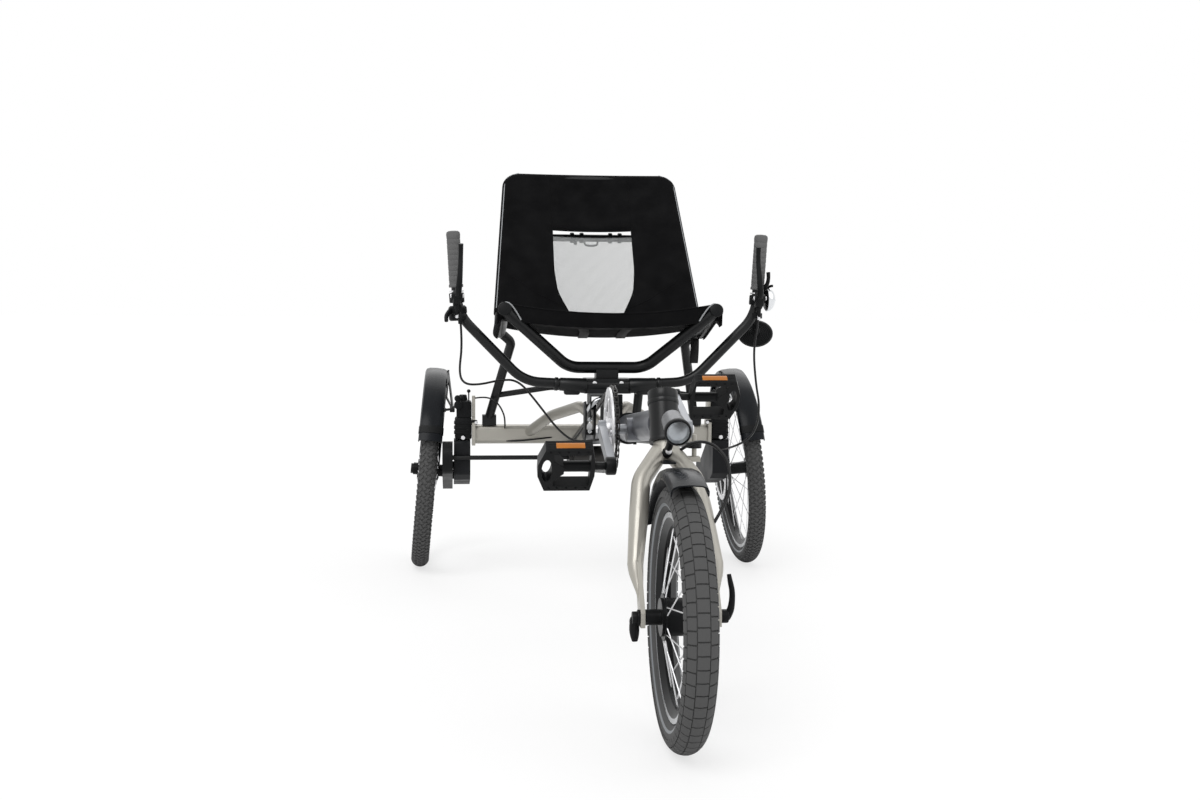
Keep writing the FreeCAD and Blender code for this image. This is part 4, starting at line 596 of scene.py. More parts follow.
class TRIKE_OT_stage(bpy.types.Operator):
    """Set the camera, the floor, the soft lights and the white surround"""
    bl_idname = "trike.stage"
    bl_label = "Studio"

    def execute(self, context):
        scene = context.scene
        self.camera(scene)
        bm = bmesh.new()
        bmesh.ops.create_grid(bm, x_segments=1, y_segments=1, size=FLOOR_HALF)
        floor = linked("studio_floor", mesh_of("studio_floor", bm))
        floor.data.materials.append(self.floor_finish())
        self.surround(scene)
        for sun in SUNS:
            self.sun(*sun)
        scene.view_settings.view_transform = "Standard"
        return {"FINISHED"}

    def floor_finish(self):
        """Matt pale floor that looks nearly white to the camera and keeps the shadows."""
        material, tree = blank("studio_floor")
        seen = add(tree, "ShaderNodeLightPath").outputs["Is Camera Ray"]
        base = add(tree, "ShaderNodeBsdfDiffuse", {"Color": tuple(colours().floor)})
        white = add(tree, "ShaderNodeEmission", {"Color": WHITE, "Strength": 1.0})
        share = add(tree, "ShaderNodeMath", {0: seen, 1: 0.7}, operation="MULTIPLY")
        blend = add(tree, "ShaderNodeMixShader", {0: share.outputs["Value"], 1: base.outputs["BSDF"],
                                                  2: white.outputs["Emission"]})
        add(tree, "ShaderNodeOutputMaterial", {"Surface": blend.outputs["Shader"]})
        return material

    def surround(self, scene):
        """White surround for the camera and for reflections, softer for the light it gives."""
        world = bpy.data.worlds.new("surround")
        world.use_nodes = True
        tree = world.node_tree
        tree.nodes.clear()
        ray = add(tree, "ShaderNodeLightPath").outputs
        seen = ray["Is Camera Ray"]
        for other in ("Is Glossy Ray", "Is Transmission Ray"):
            seen = add(tree, "ShaderNodeMath", {0: seen, 1: ray[other]}, operation="MAXIMUM").outputs["Value"]
        strength = add(tree, "ShaderNodeMapRange", {"Value": seen, "To Min": 0.6, "To Max": 1.0})
        shade = add(tree, "ShaderNodeBackground", {"Color": WHITE, "Strength": strength.outputs["Result"]})
        add(tree, "ShaderNodeOutputWorld", {"Surface": shade.outputs["Background"]})
        scene.world = world

    def sun(self, name, from_way, strength, spread):
        """A broad soft light from far away."""
        light = bpy.data.lights.new(name, "SUN")
        light.energy = strength
        light.angle = math.radians(spread)
        linked(name, light).rotation_euler = (-Vector(from_way)).to_track_quat("-Z", "Y").to_euler()

    def camera(self, scene):
        """A camera at the photograph's place, aim and lens."""
        data = bpy.data.cameras.new("camera")
        data.sensor_width = 36.0
        data.lens = CAMERA_LENS
        data.clip_end = 200.0
        obj = linked("camera", data)
        obj.matrix_world = Matrix.Translation(CAMERA_PLACE)
        for angle, axis in ((CAMERA_HEADING, "Z"), (90 - CAMERA_DIP, "X"), (CAMERA_ROLL, "Z")):
            obj.matrix_world = obj.matrix_world @ Matrix.Rotation(math.radians(angle), 4, axis)
        scene.camera = obj


# Routes of the cables, as part.py has them
GEAR_CABLE = via((-327, 545, 646), (-322, 541, 590), (-330, 506, 524), (-318, 472, 497), (-282, 436, 494),
                 (-238, 396, 502), (-192, 370, 502), (-151, 420, 453), (-102, 480, 388), (-62, 520, 366),
                 (-8, 566, 384))
BRAKE_CABLE = via((335, 556, 684), (334, 552, 640), (329, 528, 578), (347, 480, 497), (362, 452, 451),
                  (366, 420, 402), (356, 378, 362), (320, 320, 334), (318, 200, 318))
UNIT_CABLE = via((-291, 186, 446), (-266, 232, 454), (-238, 252, 444), (-220, 246, 414), (-216, 224, 388),
                 (-216, 194, 370))
BEAM_CABLE = via((-228, 190, 346), (-216, 206.5, 339), (-92, 206.5, 352), (-81, 190, 354))
FORK_HOSE = via((14, 1387, 436), (38, 1403, 459), (72, 1404, 457), (94, 1420, 434), (98, 1432, 402),
                (90, 1452, 368), (55, 1467, 320))


class TRIKE_OT_cables(bpy.types.Operator):
    """Run the cables and the fork's hose along their routes"""
    bl_idname = "trike.cables"
    bl_label = "Cables"

    def execute(self, context):
        s = sizes()
        line("frame_lines", [UNIT_CABLE, BEAM_CABLE], s.thin_cable, "frame", "cable_sleeve",
             ["frame_cables"])
        line("fork_hose_line", [FORK_HOSE], s.cable, "fork", "cable_sleeve", ["fork_hose"])
        self.bending("gear_cable", GEAR_CABLE, at(-290, 440, 500), at(-150, 440, 440), ["handlebar_cables"])
        self.bending("brake_cable", BRAKE_CABLE, at(345, 470, 520), at(345, 470, 400), ())
        return {"FINISHED"}

    def bending(self, name, route, start, end, stands_for):
        """A cable that leaves the handlebar and ends on the frame."""
        mesh = meshed(curve_of(name, [route], sizes().cable))
        obj = placed(name, mesh, None, ["cable_sleeve"], stands_for)
        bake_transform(obj)


def tread_rows(bm, section, half, depth, rows):
    """Tread blocks in rows: (across from the crown, width, length, lean, count, start turn); sizes in mm."""
    for across, width, long, lean, count, start in rows:
        made = bmesh.ops.create_grid(bm, x_segments=3, y_segments=1, size=0.5)["verts"]
        face = list({f for v in made for f in v.link_faces})
        top = [v for v in bmesh.ops.extrude_face_region(bm, geom=face)["geom"]
               if isinstance(v, bmesh.types.BMVert)]
        raised = set(top)
        tan = math.tan(math.radians(lean))
        for v in made + top:
            along = v.co.y * long * MM
            turn = (across * MM + v.co.x * width * MM + along * tan) / half
            inset = BLOCK_TAPER if v in raised else 1.0
            reach = half + (depth if v in raised else -depth / 2)
            angle = start + along * inset / (section + half)
            radius = section + reach * math.cos(turn)
            v.co = (reach * math.sin(turn), -radius * math.sin(angle), radius * math.cos(angle))
        around(bm, made + top, count)


def tyre(section, width, foot, depth, rows, seat):
    """A tyre: a round section with a reflecting stripe on each wall and blocks on its crown."""
    bm = bmesh.new()
    half = width / 2 - depth
    gap = math.asin(foot / width)
    profile = []
    for i in range(TYRE_POINTS):
        turn = -math.pi + gap + (2 * math.pi - 2 * gap) * i / (TYRE_POINTS - 1)
        profile.append((half * math.sin(turn) / MM, (section + half * math.cos(turn)) / MM))
    for face in lathe(bm, profile, Matrix.Identity(4), steps=144):
        centre = face.calc_center_median()
        if STRIPE_LOW * half < math.hypot(centre.y, centre.z) - section < STRIPE_HIGH * half:
            face.material_index = 1
    tread_rows(bm, section, half, depth, rows)
    bmesh.ops.transform(bm, matrix=seat, verts=bm.verts)
    return bm


# A block's top against its foot, the points of a tyre's section, and where the stripe lies on the wall, as
# shares of the section's radius out from its middle
BLOCK_TAPER = 0.94
TYRE_POINTS = 25
STRIPE_LOW = -0.5
STRIPE_HIGH = -0.18
# Rows of blocks from the crown outwards: leaning pairs that draw a zigzag on the rear tyres, and aligned
# blocks between narrow grooves on the front tyre. The last value turns a row by half a block or less.
REAR_ROWS = ((-4.6, 7.6, 11.0, 30, 104, 0.0), (4.6, 7.6, 11.0, -30, 104, 0.0302),
             (-14.5, 8.0, 10.6, -30, 104, 0.0302), (14.5, 8.0, 10.6, 30, 104, 0.0),
             (-23.5, 6.0, 10.0, 20, 104, 0.0), (23.5, 6.0, 10.0, -20, 104, 0.0302))
FRONT_ROWS = ((0, 16.6, 18.6, 0, 64, 0.0), (-16.6, 14.0, 18.4, 0, 64, 0.0245),
              (16.6, 14.0, 18.4, 0, 64, 0.0245), (-29.6, 9.6, 18.0, 0, 64, 0.049),
              (29.6, 9.6, 18.0, 0, 64, 0.049))
# The radius beyond which a hub node is bright spokes, and the inner radius of the rim
FRONT_BRIGHT = (40.0, 141.0)
REAR_BRIGHT = (28.0, 192.0)


class TRIKE_OT_finishes(bpy.types.Operator):
    """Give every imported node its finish, with bright spokes and braking edges"""
    bl_idname = "trike.finishes"
    bl_label = "Finishes"

    def execute(self, context):
        slots = {part["node"]: part["material_slot"] for part in frame["record"]["subparts"]}
        for node, obj in frame["nodes"].items():
            obj.data.materials.clear()
            obj.data.materials.append(finish(SLOT_FINISH[slots[node]]))
        for name, end, (hub, rim) in (("front", "front_{}", FRONT_BRIGHT),
                                      ("left", "rear_{}_left", REAR_BRIGHT),
                                      ("right", "rear_{}_right", REAR_BRIGHT)):
            paint(end.format("hub"), wheel(name), hub, rim + 30, "bright_steel")
            paint(end.format("rim"), wheel(name), rim + 10.5, rim + 30, "machined_aluminium")
        return {"FINISHED"}


def paint(node, seat, low, high, material):
    """Give the faces of a node that lie in a band of radius round its axle a second finish."""
    mesh = frame["nodes"][node].data
    mesh.materials.append(finish(material))
    own = seat.inverted()
    for face in mesh.polygons:
        centre = own @ face.center
        if low * MM < math.hypot(centre.y, centre.z) < high * MM:
            face.material_index = 1


class TRIKE_OT_tyres(bpy.types.Operator):
    """Build the three tyres with their treads"""
    bl_idname = "trike.tyres"
    bl_label = "Tyres"

    def execute(self, context):
        s = sizes()
        rear = (s.rear_section, s.rear_width, s.rear_foot, s.tread_depth, REAR_ROWS)
        front = (s.front_section, s.front_width, s.front_foot, s.tread_depth, FRONT_ROWS)
        for name, body, node, values in (("left", "rear_wheel_left", "rear_tyre_left", rear),
                                         ("right", "rear_wheel_right", "rear_tyre_right", rear),
                                         ("front", "front_wheel", "front_tyre", front)):
            piece("treaded_tyre_" + name, tyre(*values, wheel(name)), body,
                  ["tyre_rubber", "reflecting_tape"], "tyre_rubber", [node])
        return {"FINISHED"}


# A disc in millimetres: the width of its braking band, how far its two rows of holes lie inside its edge and
# how each row is turned, where an arm's two edges lie across at the collar and at the band, and how far
# inside the disc's edge the arm ends
BAND = 13.0
HOLE_ROWS = ((9.3, 0.0), (3.9, 0.1))
HOLES = 30
ARMS = 6
ARM_FOOT = (-3, 4)
ARM_TIP = (15, 8)
ARM_TIP_IN = 12.2


class TRIKE_OT_discs(bpy.types.Operator):
    """Cut the brake discs with their holes and arms"""
    bl_idname = "trike.discs"
    bl_label = "Brake discs"

    def execute(self, context):
        self.disc("front_brake_disc", "front_wheel", "front_disc", wheel("front"), 42.0, 70.0, 30.0)
        self.disc("rear_brake_disc", "rear_wheel_left", "rear_disc_left", wheel("left"), -48.0, 80.0, 26.0)
        return {"FINISHED"}

    def disc(self, name, body, node, seat, x, outer, inner):
        """A braking band with two rows of holes on six arms round a small collar."""
        band = bmesh.new()
        ring(band, x, outer - BAND, outer, 96)
        holes = bmesh.new()
        for depth, turn in HOLE_ROWS:
            before = set(holes.faces)
            middle = Vector((x, 0, outer - depth)) * MM
            cylinder(holes, middle - LEFT * 4 * MM, middle + LEFT * 4 * MM, 2.1, sides=12)
            verts = added(holes, before)[1]
            bmesh.ops.rotate(holes, verts=verts, cent=(0, 0, 0), matrix=Matrix.Rotation(turn, 3, "X"))
            around(holes, verts, HOLES)
        bm = carved(band, holes)
        ring(bm, x, inner - 6, inner + 3, 48)
        before = set(bm.faces)
        outline = [(y, inner) for y in ARM_FOOT] + [(y, outer - ARM_TIP_IN) for y in ARM_TIP]
        slab(bm, [Vector((x - 0.9, y, z)) * MM for y, z in outline], LEFT * 1.8 * MM)
        around(bm, added(bm, before)[1], ARMS)
        bmesh.ops.transform(bm, matrix=seat, verts=bm.verts)
        piece(name, bm, body, *STEEL, [node])


def ring(bm, x, inner, outer, steps):
    """A flat ring 2 mm thick round the X axis."""
    lathe(bm, ((x - 1, inner), (x + 1, inner), (x + 1, outer), (x - 1, outer)), Matrix.Identity(4), steps)


# The chain ring and the rear gear: station, height and radius of the chain's middle line
RING = (1138.0, 454.9, 76.0)
GEAR = (216.0, 303.0, 29.0)
CHAIN_X = -58.5
CHAIN_SPAN = math.hypot(RING[0] - GEAR[0], RING[1] - GEAR[1])
CHAIN_SLOPE = math.atan2(RING[1] - GEAR[1], RING[0] - GEAR[0])
CHAIN_LIFT = math.asin((RING[2] - GEAR[2]) / CHAIN_SPAN)
CHAIN_RUN = CHAIN_SPAN * math.cos(CHAIN_LIFT)
FRONT_ARC = RING[2] * (math.pi + 2 * CHAIN_LIFT)
REAR_ARC = GEAR[2] * (math.pi - 2 * CHAIN_LIFT)
CHAIN_LENGTH = 2 * CHAIN_RUN + FRONT_ARC + REAR_ARC
TEETH = 36
RING_BOLTS = 5
QUARTER = math.pi / 2


def on_circle(circle, turn):
    """A place on a (station, height, radius) circle at an angle above ahead."""
    return circle[0] + circle[2] * math.cos(turn), circle[1] + circle[2] * math.sin(turn)


def chain_point(distance):
    """A place on the chain's closed middle line, as its station and height in millimetres."""
    high = CHAIN_SLOPE + CHAIN_LIFT
    low = CHAIN_SLOPE - CHAIN_LIFT
    distance %= CHAIN_LENGTH
    if distance < CHAIN_RUN:
        s, z = on_circle(GEAR, high + QUARTER)
        return s + distance * math.cos(high), z + distance * math.sin(high)
    distance -= CHAIN_RUN
    if distance < FRONT_ARC:
        return on_circle(RING, high + QUARTER - distance / RING[2])
    distance -= FRONT_ARC
    if distance < CHAIN_RUN:
        s, z = on_circle(RING, low - QUARTER)
        return s - distance * math.cos(low), z - distance * math.sin(low)
    distance -= CHAIN_RUN
    return on_circle(GEAR, low - QUARTER - distance / GEAR[2])


def link_plates(bm, first, last, offset):
    """The two side plates of one link between two pins."""
    way = (Vector(last) - Vector(first)).normalized()
    across = Vector((-way.y, way.x))
    outline = []
    for centre, sign in ((first, -1), (last, 1)):
        for turn in (-60, 0, 60):
            a = math.radians(turn)
            reach = way * (sign * math.cos(a)) + across * (sign * math.sin(a))
            outline.append((centre[0] + reach.x * 4.0, centre[1] + reach.y * 4.0))
    for side in BOTH:
        slab(bm, [at(CHAIN_X + side * offset, s, z) for s, z in outline], LEFT * side * 0.9 * MM)


CRANK_BOLTS = ((bolt, at(84.4, RING[0], RING[1]), LEFT, 7, 4),)
CHANGER_OUTLINE = ((886, 486), (918, 490), (930, 470), (924, 424), (906, 410), (888, 420))
CHANGER_CAGE = (
    *((slab, [at(x, s, z) for s, z in CHANGER_OUTLINE], LEFT * 3.4 * MM, 1.2) for x in (-88, -70)),
    *((cylinder, at(-88, 908, z), at(-66, 908, z), 5.5, {"sides": 20, "edge": 0.8}) for z in (478, 428)),
)
CHANGER_LEVER = (
    (swept, via((-84, 924, 470), (-76, 932, 486), (-58, 934, 497), (-42, 928, 502)), 9,
     (0.8, 1.15, 1.0, 0.7)),
    (bolt, at(-79, 930, 455), AHEAD, 4.5, 3),
    (bolt, at(-79, 926, 432), AHEAD, 4, 3),
)
# Each pedal's body, and the middle of its cage
PEDALS = (("pedal_right", -155.0, 1296.0, 407.2), ("pedal_left", 155.0, 980.0, 502.6))


class TRIKE_OT_drive(bpy.types.Operator):
    """Build the chain's links and rollers, the ring's teeth, the crank's bolts and the changer's lever"""
    bl_idname = "trike.drive"
    bl_label = "Drive"

    def execute(self, context):
        self.chain()
        self.teeth()
        bm = bmesh.new()
        draw(bm, CRANK_BOLTS, BOTH)
        for i in range(RING_BOLTS):
            place = on_circle((RING[0], RING[1], 55), 2 * math.pi / RING_BOLTS * i)
            bolt(bm, at(-66.8, *place), -LEFT, 4.5, 2)
        piece("crank_bolts", bm, "crankset", *STEEL)
        bm = bmesh.new()
        for _, x, s, z in PEDALS:
            cylinder(bm, at(math.copysign(70.6, x), s, z), at(math.copysign(88.5, x), s, z), 15.5, edge=3)
        piece("crank_ends", bm, "crankset", *NYLON)
        assembled("changer_cage", "frame", NYLON, CHANGER_CAGE)
        assembled("changer_lever", "frame", (["machined_aluminium"], "bright_steel"), CHANGER_LEVER)
        return {"FINISHED"}

    def chain(self):
        """The chain's links, wide and narrow in turn, with a roller at each pin."""
        count = 2 * round(CHAIN_LENGTH / (sizes().chain_pitch / MM) / 2)
        bm = bmesh.new()
        for i in range(count):
            s, z = chain_point(CHAIN_LENGTH * i / count)
            link_plates(bm, (s, z), chain_point(CHAIN_LENGTH * (i + 1) / count), 2.9 if i % 2 else 1.8)
            cylinder(bm, at(CHAIN_X - 3.5, s, z), at(CHAIN_X + 3.5, s, z), 1.9, sides=8)
        piece("chain_links", bm, "frame", ["oiled_steel"], "chain_steel", ["chain"])

    def teeth(self):
        """The chain ring's pointed teeth."""
        bm = bmesh.new()
        tooth = bmesh.ops.create_cone(bm, cap_ends=True, segments=4, radius1=3.6 * MM, radius2=1.6 * MM,
                                      depth=6 * MM)["verts"]
        seat = Matrix.Translation((0, 0, 73.0 * MM)) @ Matrix.Rotation(math.pi / 4, 4, "Z")
        bmesh.ops.transform(bm, matrix=seat, verts=tooth)
        bmesh.ops.scale(bm, vec=(0.45, 1.0, 1.0), verts=tooth)
        around(bm, tooth, TEETH)
        bmesh.ops.translate(bm, vec=at(CHAIN_X, RING[0], RING[1]), verts=bm.verts)
        piece("chain_ring_teeth", bm, "crankset", ["oiled_steel"], "chain_steel")


PEDAL_NOSE_UP = math.radians(50)
PEDAL_HALF = 11.5
PEDAL_SIDE = 49
PEDAL_OUTLINE = ((-42, -49), (36, -49), (48, -14), (48, 14), (36, 49), (-42, 49), (-48, 14), (-48, -14))
PEDAL_OPENING = ((-40, -37), (21, -37), (21, -23), (4, -8), (4, 8), (21, 23), (21, 37), (-40, 37))


def local(x, y, z):
    """A point in a piece's own frame, from millimetres."""
    return Vector((x, y, z)) * MM


class TRIKE_OT_pedals(bpy.types.Operator):
    """Mould the open pedal cages with their reflectors"""
    bl_idname = "trike.pedals"
    bl_label = "Pedals"

    def execute(self, context):
        for name, x, s, z in PEDALS:
            seat = (Matrix.Translation(at(x, s, z)) @ Matrix.Rotation(-PEDAL_NOSE_UP, 4, "X")
                    @ Matrix.Diagonal((math.copysign(1, x), 1, 1, 1)))
            reflectors = bmesh.new()
            for end in BOTH:
                side = end * PEDAL_SIDE
                box(reflectors, local(-29, side - 0.7, -6), local(19, side + 1.4, 6), 0.5)
            spindle = bmesh.new()
            cylinder(spindle, local(-70, 0, 0), local(-47, 0, 0), 7, edge=0.6)
            for kind, bm, look, stands_for, edge in (
                    ("_cage", self.cage(), ["moulded_nylon"], [name], 0.9),
                    ("_reflectors", reflectors, ["amber_reflector"], (), 0.0),
                    ("_spindle", spindle, ["anodised_black"], (), 0.0)):
                bmesh.ops.transform(bm, matrix=seat, verts=bm.verts)
                piece(name + kind, bm, name, look, "black_plastic", stands_for, edge=edge)
        return {"FINISHED"}

    def cage(self):
        """One open cage with grip pins, its outer side towards +X and its front towards -Y."""
        body = bmesh.new()
        slab(body, [local(x, y, -PEDAL_HALF) for x, y in PEDAL_OUTLINE], UP * 2 * PEDAL_HALF * MM)
        opening = bmesh.new()
        slab(opening, [local(x, y, -30) for x, y in PEDAL_OPENING], UP * 60 * MM)
        body = carved(body, opening)
        oval = bmesh.new()
        seat = Matrix.Translation(local(33, 0, 0)) @ Matrix.Diagonal((*local(8.6, 26, 60), 1))
        bmesh.ops.create_cone(oval, cap_ends=True, segments=32, radius1=1, radius2=1, depth=1, matrix=seat)
        body = carved(body, oval)
        cylinder(body, local(-48.5, 0, 0), local(8, 0, 0), 9.5)
        for end in BOTH:
            side = end * PEDAL_SIDE
            for i in range(5):
                z = -8.4 + 4.2 * i
                box(body, local(-38, side - 0.5, z - 0.9), local(33, side + 0.9, z + 0.9))
            for x in (-34, -18, -2, 14, 28):
                for z in (-PEDAL_HALF, PEDAL_HALF):
                    cylinder(body, local(x, end * 43, z), local(x, end * 43, z * 1.14), 1.8, sides=10)
        return body


# A mudguard's outer section: (across, in from its crown)
GUARD_SECTION = ((-29.0, -16.0), (-28.6, -9.5), (-25.5, -4.0), (-18.0, -1.2), (0.0, 0.0), (18.0, -1.2),
                 (25.5, -4.0), (28.6, -9.5), (29.0, -16.0))
GUARD_HALF = 29
GUARD_WALL = 2.2
REAR_GUARD_R = 264.0
FRONT_GUARD_R = 227.0
# Spans of the arches, in degrees above forward
REAR_SPAN = (22, 192)
CLIP_SPAN = (26.5, 30.5)
FRONT_SPAN = (69, 150)
STAY_ANGLES = (42, 88, 135)
STAY_PLATE = ((262, 64), (262, 74), (226, 62), (232, 58))
STAY_FOOT = ((cylinder, at(338, 190, 420), at(350, 190, 420), 8, {"edge": 1.5}),)


def guard_arch(bm, top, span, grow=0.0, lip=1.0):
    """A mudguard's rounded shell over a span of angles, about the X axis."""
    outer = [(x * (1 + grow / GUARD_HALF), top + grow + drop * lip) for x, drop in GUARD_SECTION]
    wall = GUARD_WALL + grow
    inner = [(x * (1 - wall / GUARD_HALF), r - wall * min(1.0, abs(2.0 - abs(x) / 20)))
             for x, r in reversed(outer)]
    face = bm.faces.new([bm.verts.new((x * MM, 0, r * MM)) for x, r in outer + inner])
    turn = math.radians(90 - span[0])
    bmesh.ops.rotate(bm, verts=list(face.verts), cent=(0, 0, 0), matrix=Matrix.Rotation(turn, 3, "X"))
    bmesh.ops.spin(bm, geom=[face] + list(face.edges) + list(face.verts), cent=(0, 0, 0), axis=(1, 0, 0),
                   angle=-math.radians(span[1] - span[0]), steps=max(2, round((span[1] - span[0]) / 3)))


def on_arch(seat, x, radius, angle):
    """A place on an arch at an angle above forward."""
    turn = math.radians(angle)
    return seat @ local(x, -radius * math.cos(turn), radius * math.sin(turn))


class TRIKE_OT_guards(bpy.types.Operator):
    """Form the three mudguards with their stays and clips"""
    bl_idname = "trike.guards"
    bl_label = "Mudguards"

    def execute(self, context):
        for side, name in SIDES:
            self.rear(side, name, wheel(name))
        bm = bmesh.new()
        guard_arch(bm, FRONT_GUARD_R, FRONT_SPAN, lip=1.15)
        bmesh.ops.transform(bm, matrix=wheel("front"), verts=bm.verts)
        box(bm, at(-11, 1392, 424), at(11, 1424, 428), 1.5)
        piece("mudguard_front", bm, "fork", ["mudguard_polycarbonate"], "guard_plastic", ["front_guard"])
        return {"FINISHED"}

    def rear(self, side, name, seat):
        """A rear mudguard with its clip, and the stays that fan out from the beam's end plate."""
        bm = bmesh.new()
        guard_arch(bm, REAR_GUARD_R, REAR_SPAN)
        before = set(bm.faces)
        guard_arch(bm, REAR_GUARD_R, CLIP_SPAN, grow=1.2)
        second_finish(bm, before)
        bmesh.ops.transform(bm, matrix=seat, verts=bm.verts)
        piece("mudguard_" + name, bm, "frame", ["mudguard_polycarbonate", "moulded_nylon"], "guard_plastic",
              ["rear_guard_" + name])
        bm = bmesh.new()
        draw(bm, STAY_FOOT, (side,))
        way = seat.to_3x3() @ Vector((-side, 0, 0))
        for angle in STAY_ANGLES:
            tip = on_arch(seat, -side * 28.5, REAR_GUARD_R - 7, angle)
            cylinder(bm, at(side * 343, 190, 420), tip, 3.1, sides=16)
            bolt(bm, tip - way * 2 * MM, way, 5, 5)
        slab(bm, [on_arch(seat, -side * 29.2, r, a) for r, a in STAY_PLATE], way * 3 * MM, 0.8)
        piece("mudguard_stays_" + name, bm, "frame", *BLACK_COAT)


SPRING_UNIT = (
    (box, at(297, 158, 346), at(338, 206, 400), 5),
    (box, at(297, 162, 396), at(334, 203, 441), 6),
    *((box, at(299, 156, z), at(340, 208, z + 5), 1.5) for z in (360, 372, 384)),
    (cylinder, at(331, 200, 447), at(331, 214, 447), 8, {"edge": 2}),
    (cylinder, at(330, 200, 431), at(330, 217, 431), 10, {"edge": 2.5}),
    (cylinder, at(318, 182, 438), at(318, 182, 455), 12, 9, {"edge": 2}),
    (cylinder, at(304, 190, 436), at(304, 190, 462), 1.6, {"sides": 12}),
    (ball, at(304, 190, 464), 4.6),
    (box, at(283, 196, 382), at(300, 208, 394), 2),
)
SUSPENSION_BOLTS = (
    *((bolt, at(291, 203, z), AHEAD, 2.8, 2.4) for z in (350, 376)),
    (bolt, at(286, 206, 388), AHEAD, 4, 4),
    (bolt, at(318, 216, 352), AHEAD, 5, 4),
    *((bolt, at(340, s, z), LEFT, 6, 5) for s, z in ((178, 300), (60, 252))),
)


class TRIKE_OT_suspension(bpy.types.Operator):
    """Build the spring units and the fittings on the rear beam"""
    bl_idname = "trike.suspension"
    bl_label = "Rear suspension"

    def execute(self, context):
        assembled("spring_unit_bodies", "frame", NYLON, SPRING_UNIT, BOTH, ["spring_units"])
        assembled("suspension_bolts", "frame", STEEL, SUSPENSION_BOLTS, BOTH)
        return {"FINISHED"}


LAMP_BACK = at(0, 1436, 499)
LAMP_WAY = at(0, 1508, 482) - LAMP_BACK
OPEN = {"closed": False}
# Profiles turned about the lamp's axis, from its back: (along, radius)
LAMP_RIBS = tuple((x + 4 * i, r + 0.22 * i) for i in range(13)
                  for x, r in ((9, 15.8), (9.6, 16.8), (11.6, 16.8), (12.2, 15.8)))
LAMP_BARREL = ((0, 0), (0, 11), (2, 14), (6, 15.6), *LAMP_RIBS, (64, 18.8), (64, 0))
LAMP_RIM = ((62, 19.0), (63, 20.8), (66, 21.4), (72, 21.4), (74, 20.2), (74.4, 18.4), (72.5, 17.8),
            (66, 17.6))
LAMP_BOWL = ((73, 17.6), (70, 16.8), (66, 14.0), (64.6, 9.0), (64.3, 3.0), (64.3, 0.0))
LAMP_LENS = ((71, 0), (71, 17.7), (72.4, 17.7), (73.6, 12), (74.2, 0))
LAMP_MOUNT = (
    (turned, LAMP_RIM, LAMP_BACK, LAMP_WAY),
    (swept, via((0, 1391, 437.5), (0, 1404, 446), (0, 1420, 452), (0, 1446, 470), (0, 1458, 482)), 12),
    (box, at(-8, 1444, 464), at(8, 1470, 474), 3, Matrix.Rotation(math.radians(-13), 4, "X")),
    (ball, at(0, 1395, 440), 9),
)
LAMP_BOLTS = ((bolt, at(0, 1412, 444), AHEAD, 5, 4), (bolt, at(8, 1458, 468), LEFT, 4, 3))
RAKE = math.radians(22)
STEM = Vector((0, math.sin(RAKE), math.cos(RAKE)))
HEAD_TOP = at(0, 1347.7, 520.4)
HEAD_FOOT = at(0, 1374.3, 454.6)
HEAD_COLLAR = ((0, 23.5), (0, 25.4), (2, 25.8), (5, 25.8), (7, 25.4), (7, 23.5))
HEADSET = (
    (cylinder, HEAD_TOP - STEM * 0.6 * MM, HEAD_TOP + STEM * 16.5 * MM, 24.9, {"sides": 64, "edge": 2.2}),
    (bolt, HEAD_TOP + STEM * 16 * MM, STEM, 9, 2.5),
    *((turned, HEAD_COLLAR, end, STEM, {"steps": 64})
      for end in (HEAD_FOOT - STEM * MM, HEAD_TOP - STEM * 7 * MM)),
)
AXLE_FITTINGS = (
    *((cylinder, at(low, WHEELBASE, FRONT_R), at(high, WHEELBASE, FRONT_R), radius, options)
      for low, high, radius, options in ((-72, 66, 6, {}), (-74, -62, 9.5, {"sides": 12, "edge": 1}),
                                         (-66, -62, 12, {"edge": 1}), (62, 74, 10.5, {"edge": 2}))),
    (swept, via((71, 1545, 203), (77, 1546, 212), (80, 1544, 228), (80.5, 1541, 244), (77.5, 1538, 258),
                (76, 1536, 268)), 12, (1.1, 1.0, 0.8, 0.75, 0.7, 0.55)),
    (ball, at(-69, 1537, 197), 8.5, (0.95, 1.0, 1.2)),
    (swept, via((-69, 1537, 202), (-69.5, 1537, 190), (-69, 1538, 176), (-68.5, 1538, 167)), 15,
     (0.9, 1.1, 1.0, 0.6)),
)
FRONT_BOLTS = (
    (bolt, at(73.6, WHEELBASE, FRONT_R), LEFT, 5, 2),
    *((bolt, at(62, s, z), LEFT, 4, 3) for s, z in ((1478, 236), (1484, 206))),
)


class TRIKE_OT_front_end(bpy.types.Operator):
    """Build the lamp, the headset cap, the axle's nut, plug and quick release"""
    bl_idname = "trike.front_end"
    bl_label = "Front end"

    def execute(self, context):
        self.lamp("lamp_barrel", "anodised_lamp", LAMP_BARREL, ["headlight"])
        assembled("lamp_rim", "fork", NYLON, LAMP_MOUNT)
        self.lamp("lamp_reflector", "machined_aluminium", LAMP_BOWL)
        self.lamp("lamp_lens", "lamp_glass", LAMP_LENS)
        assembled("lamp_bolts", "fork", STEEL, LAMP_BOLTS)
        assembled("headset_cap", "fork", BLACK_COAT, HEADSET)
        assembled("front_axle_fittings", "fork", NYLON, AXLE_FITTINGS, (1,), ["front_axle"])
        assembled("front_bolts", "fork", STEEL, FRONT_BOLTS)
        return {"FINISHED"}

    def lamp(self, name, material, profile, stands_for=()):
        """A part of the lamp turned about its axis."""
        shape = (turned, profile, LAMP_BACK, LAMP_WAY, OPEN)
        assembled(name, "fork", ([material], "lamp_grey"), (shape,), (1,), stands_for)


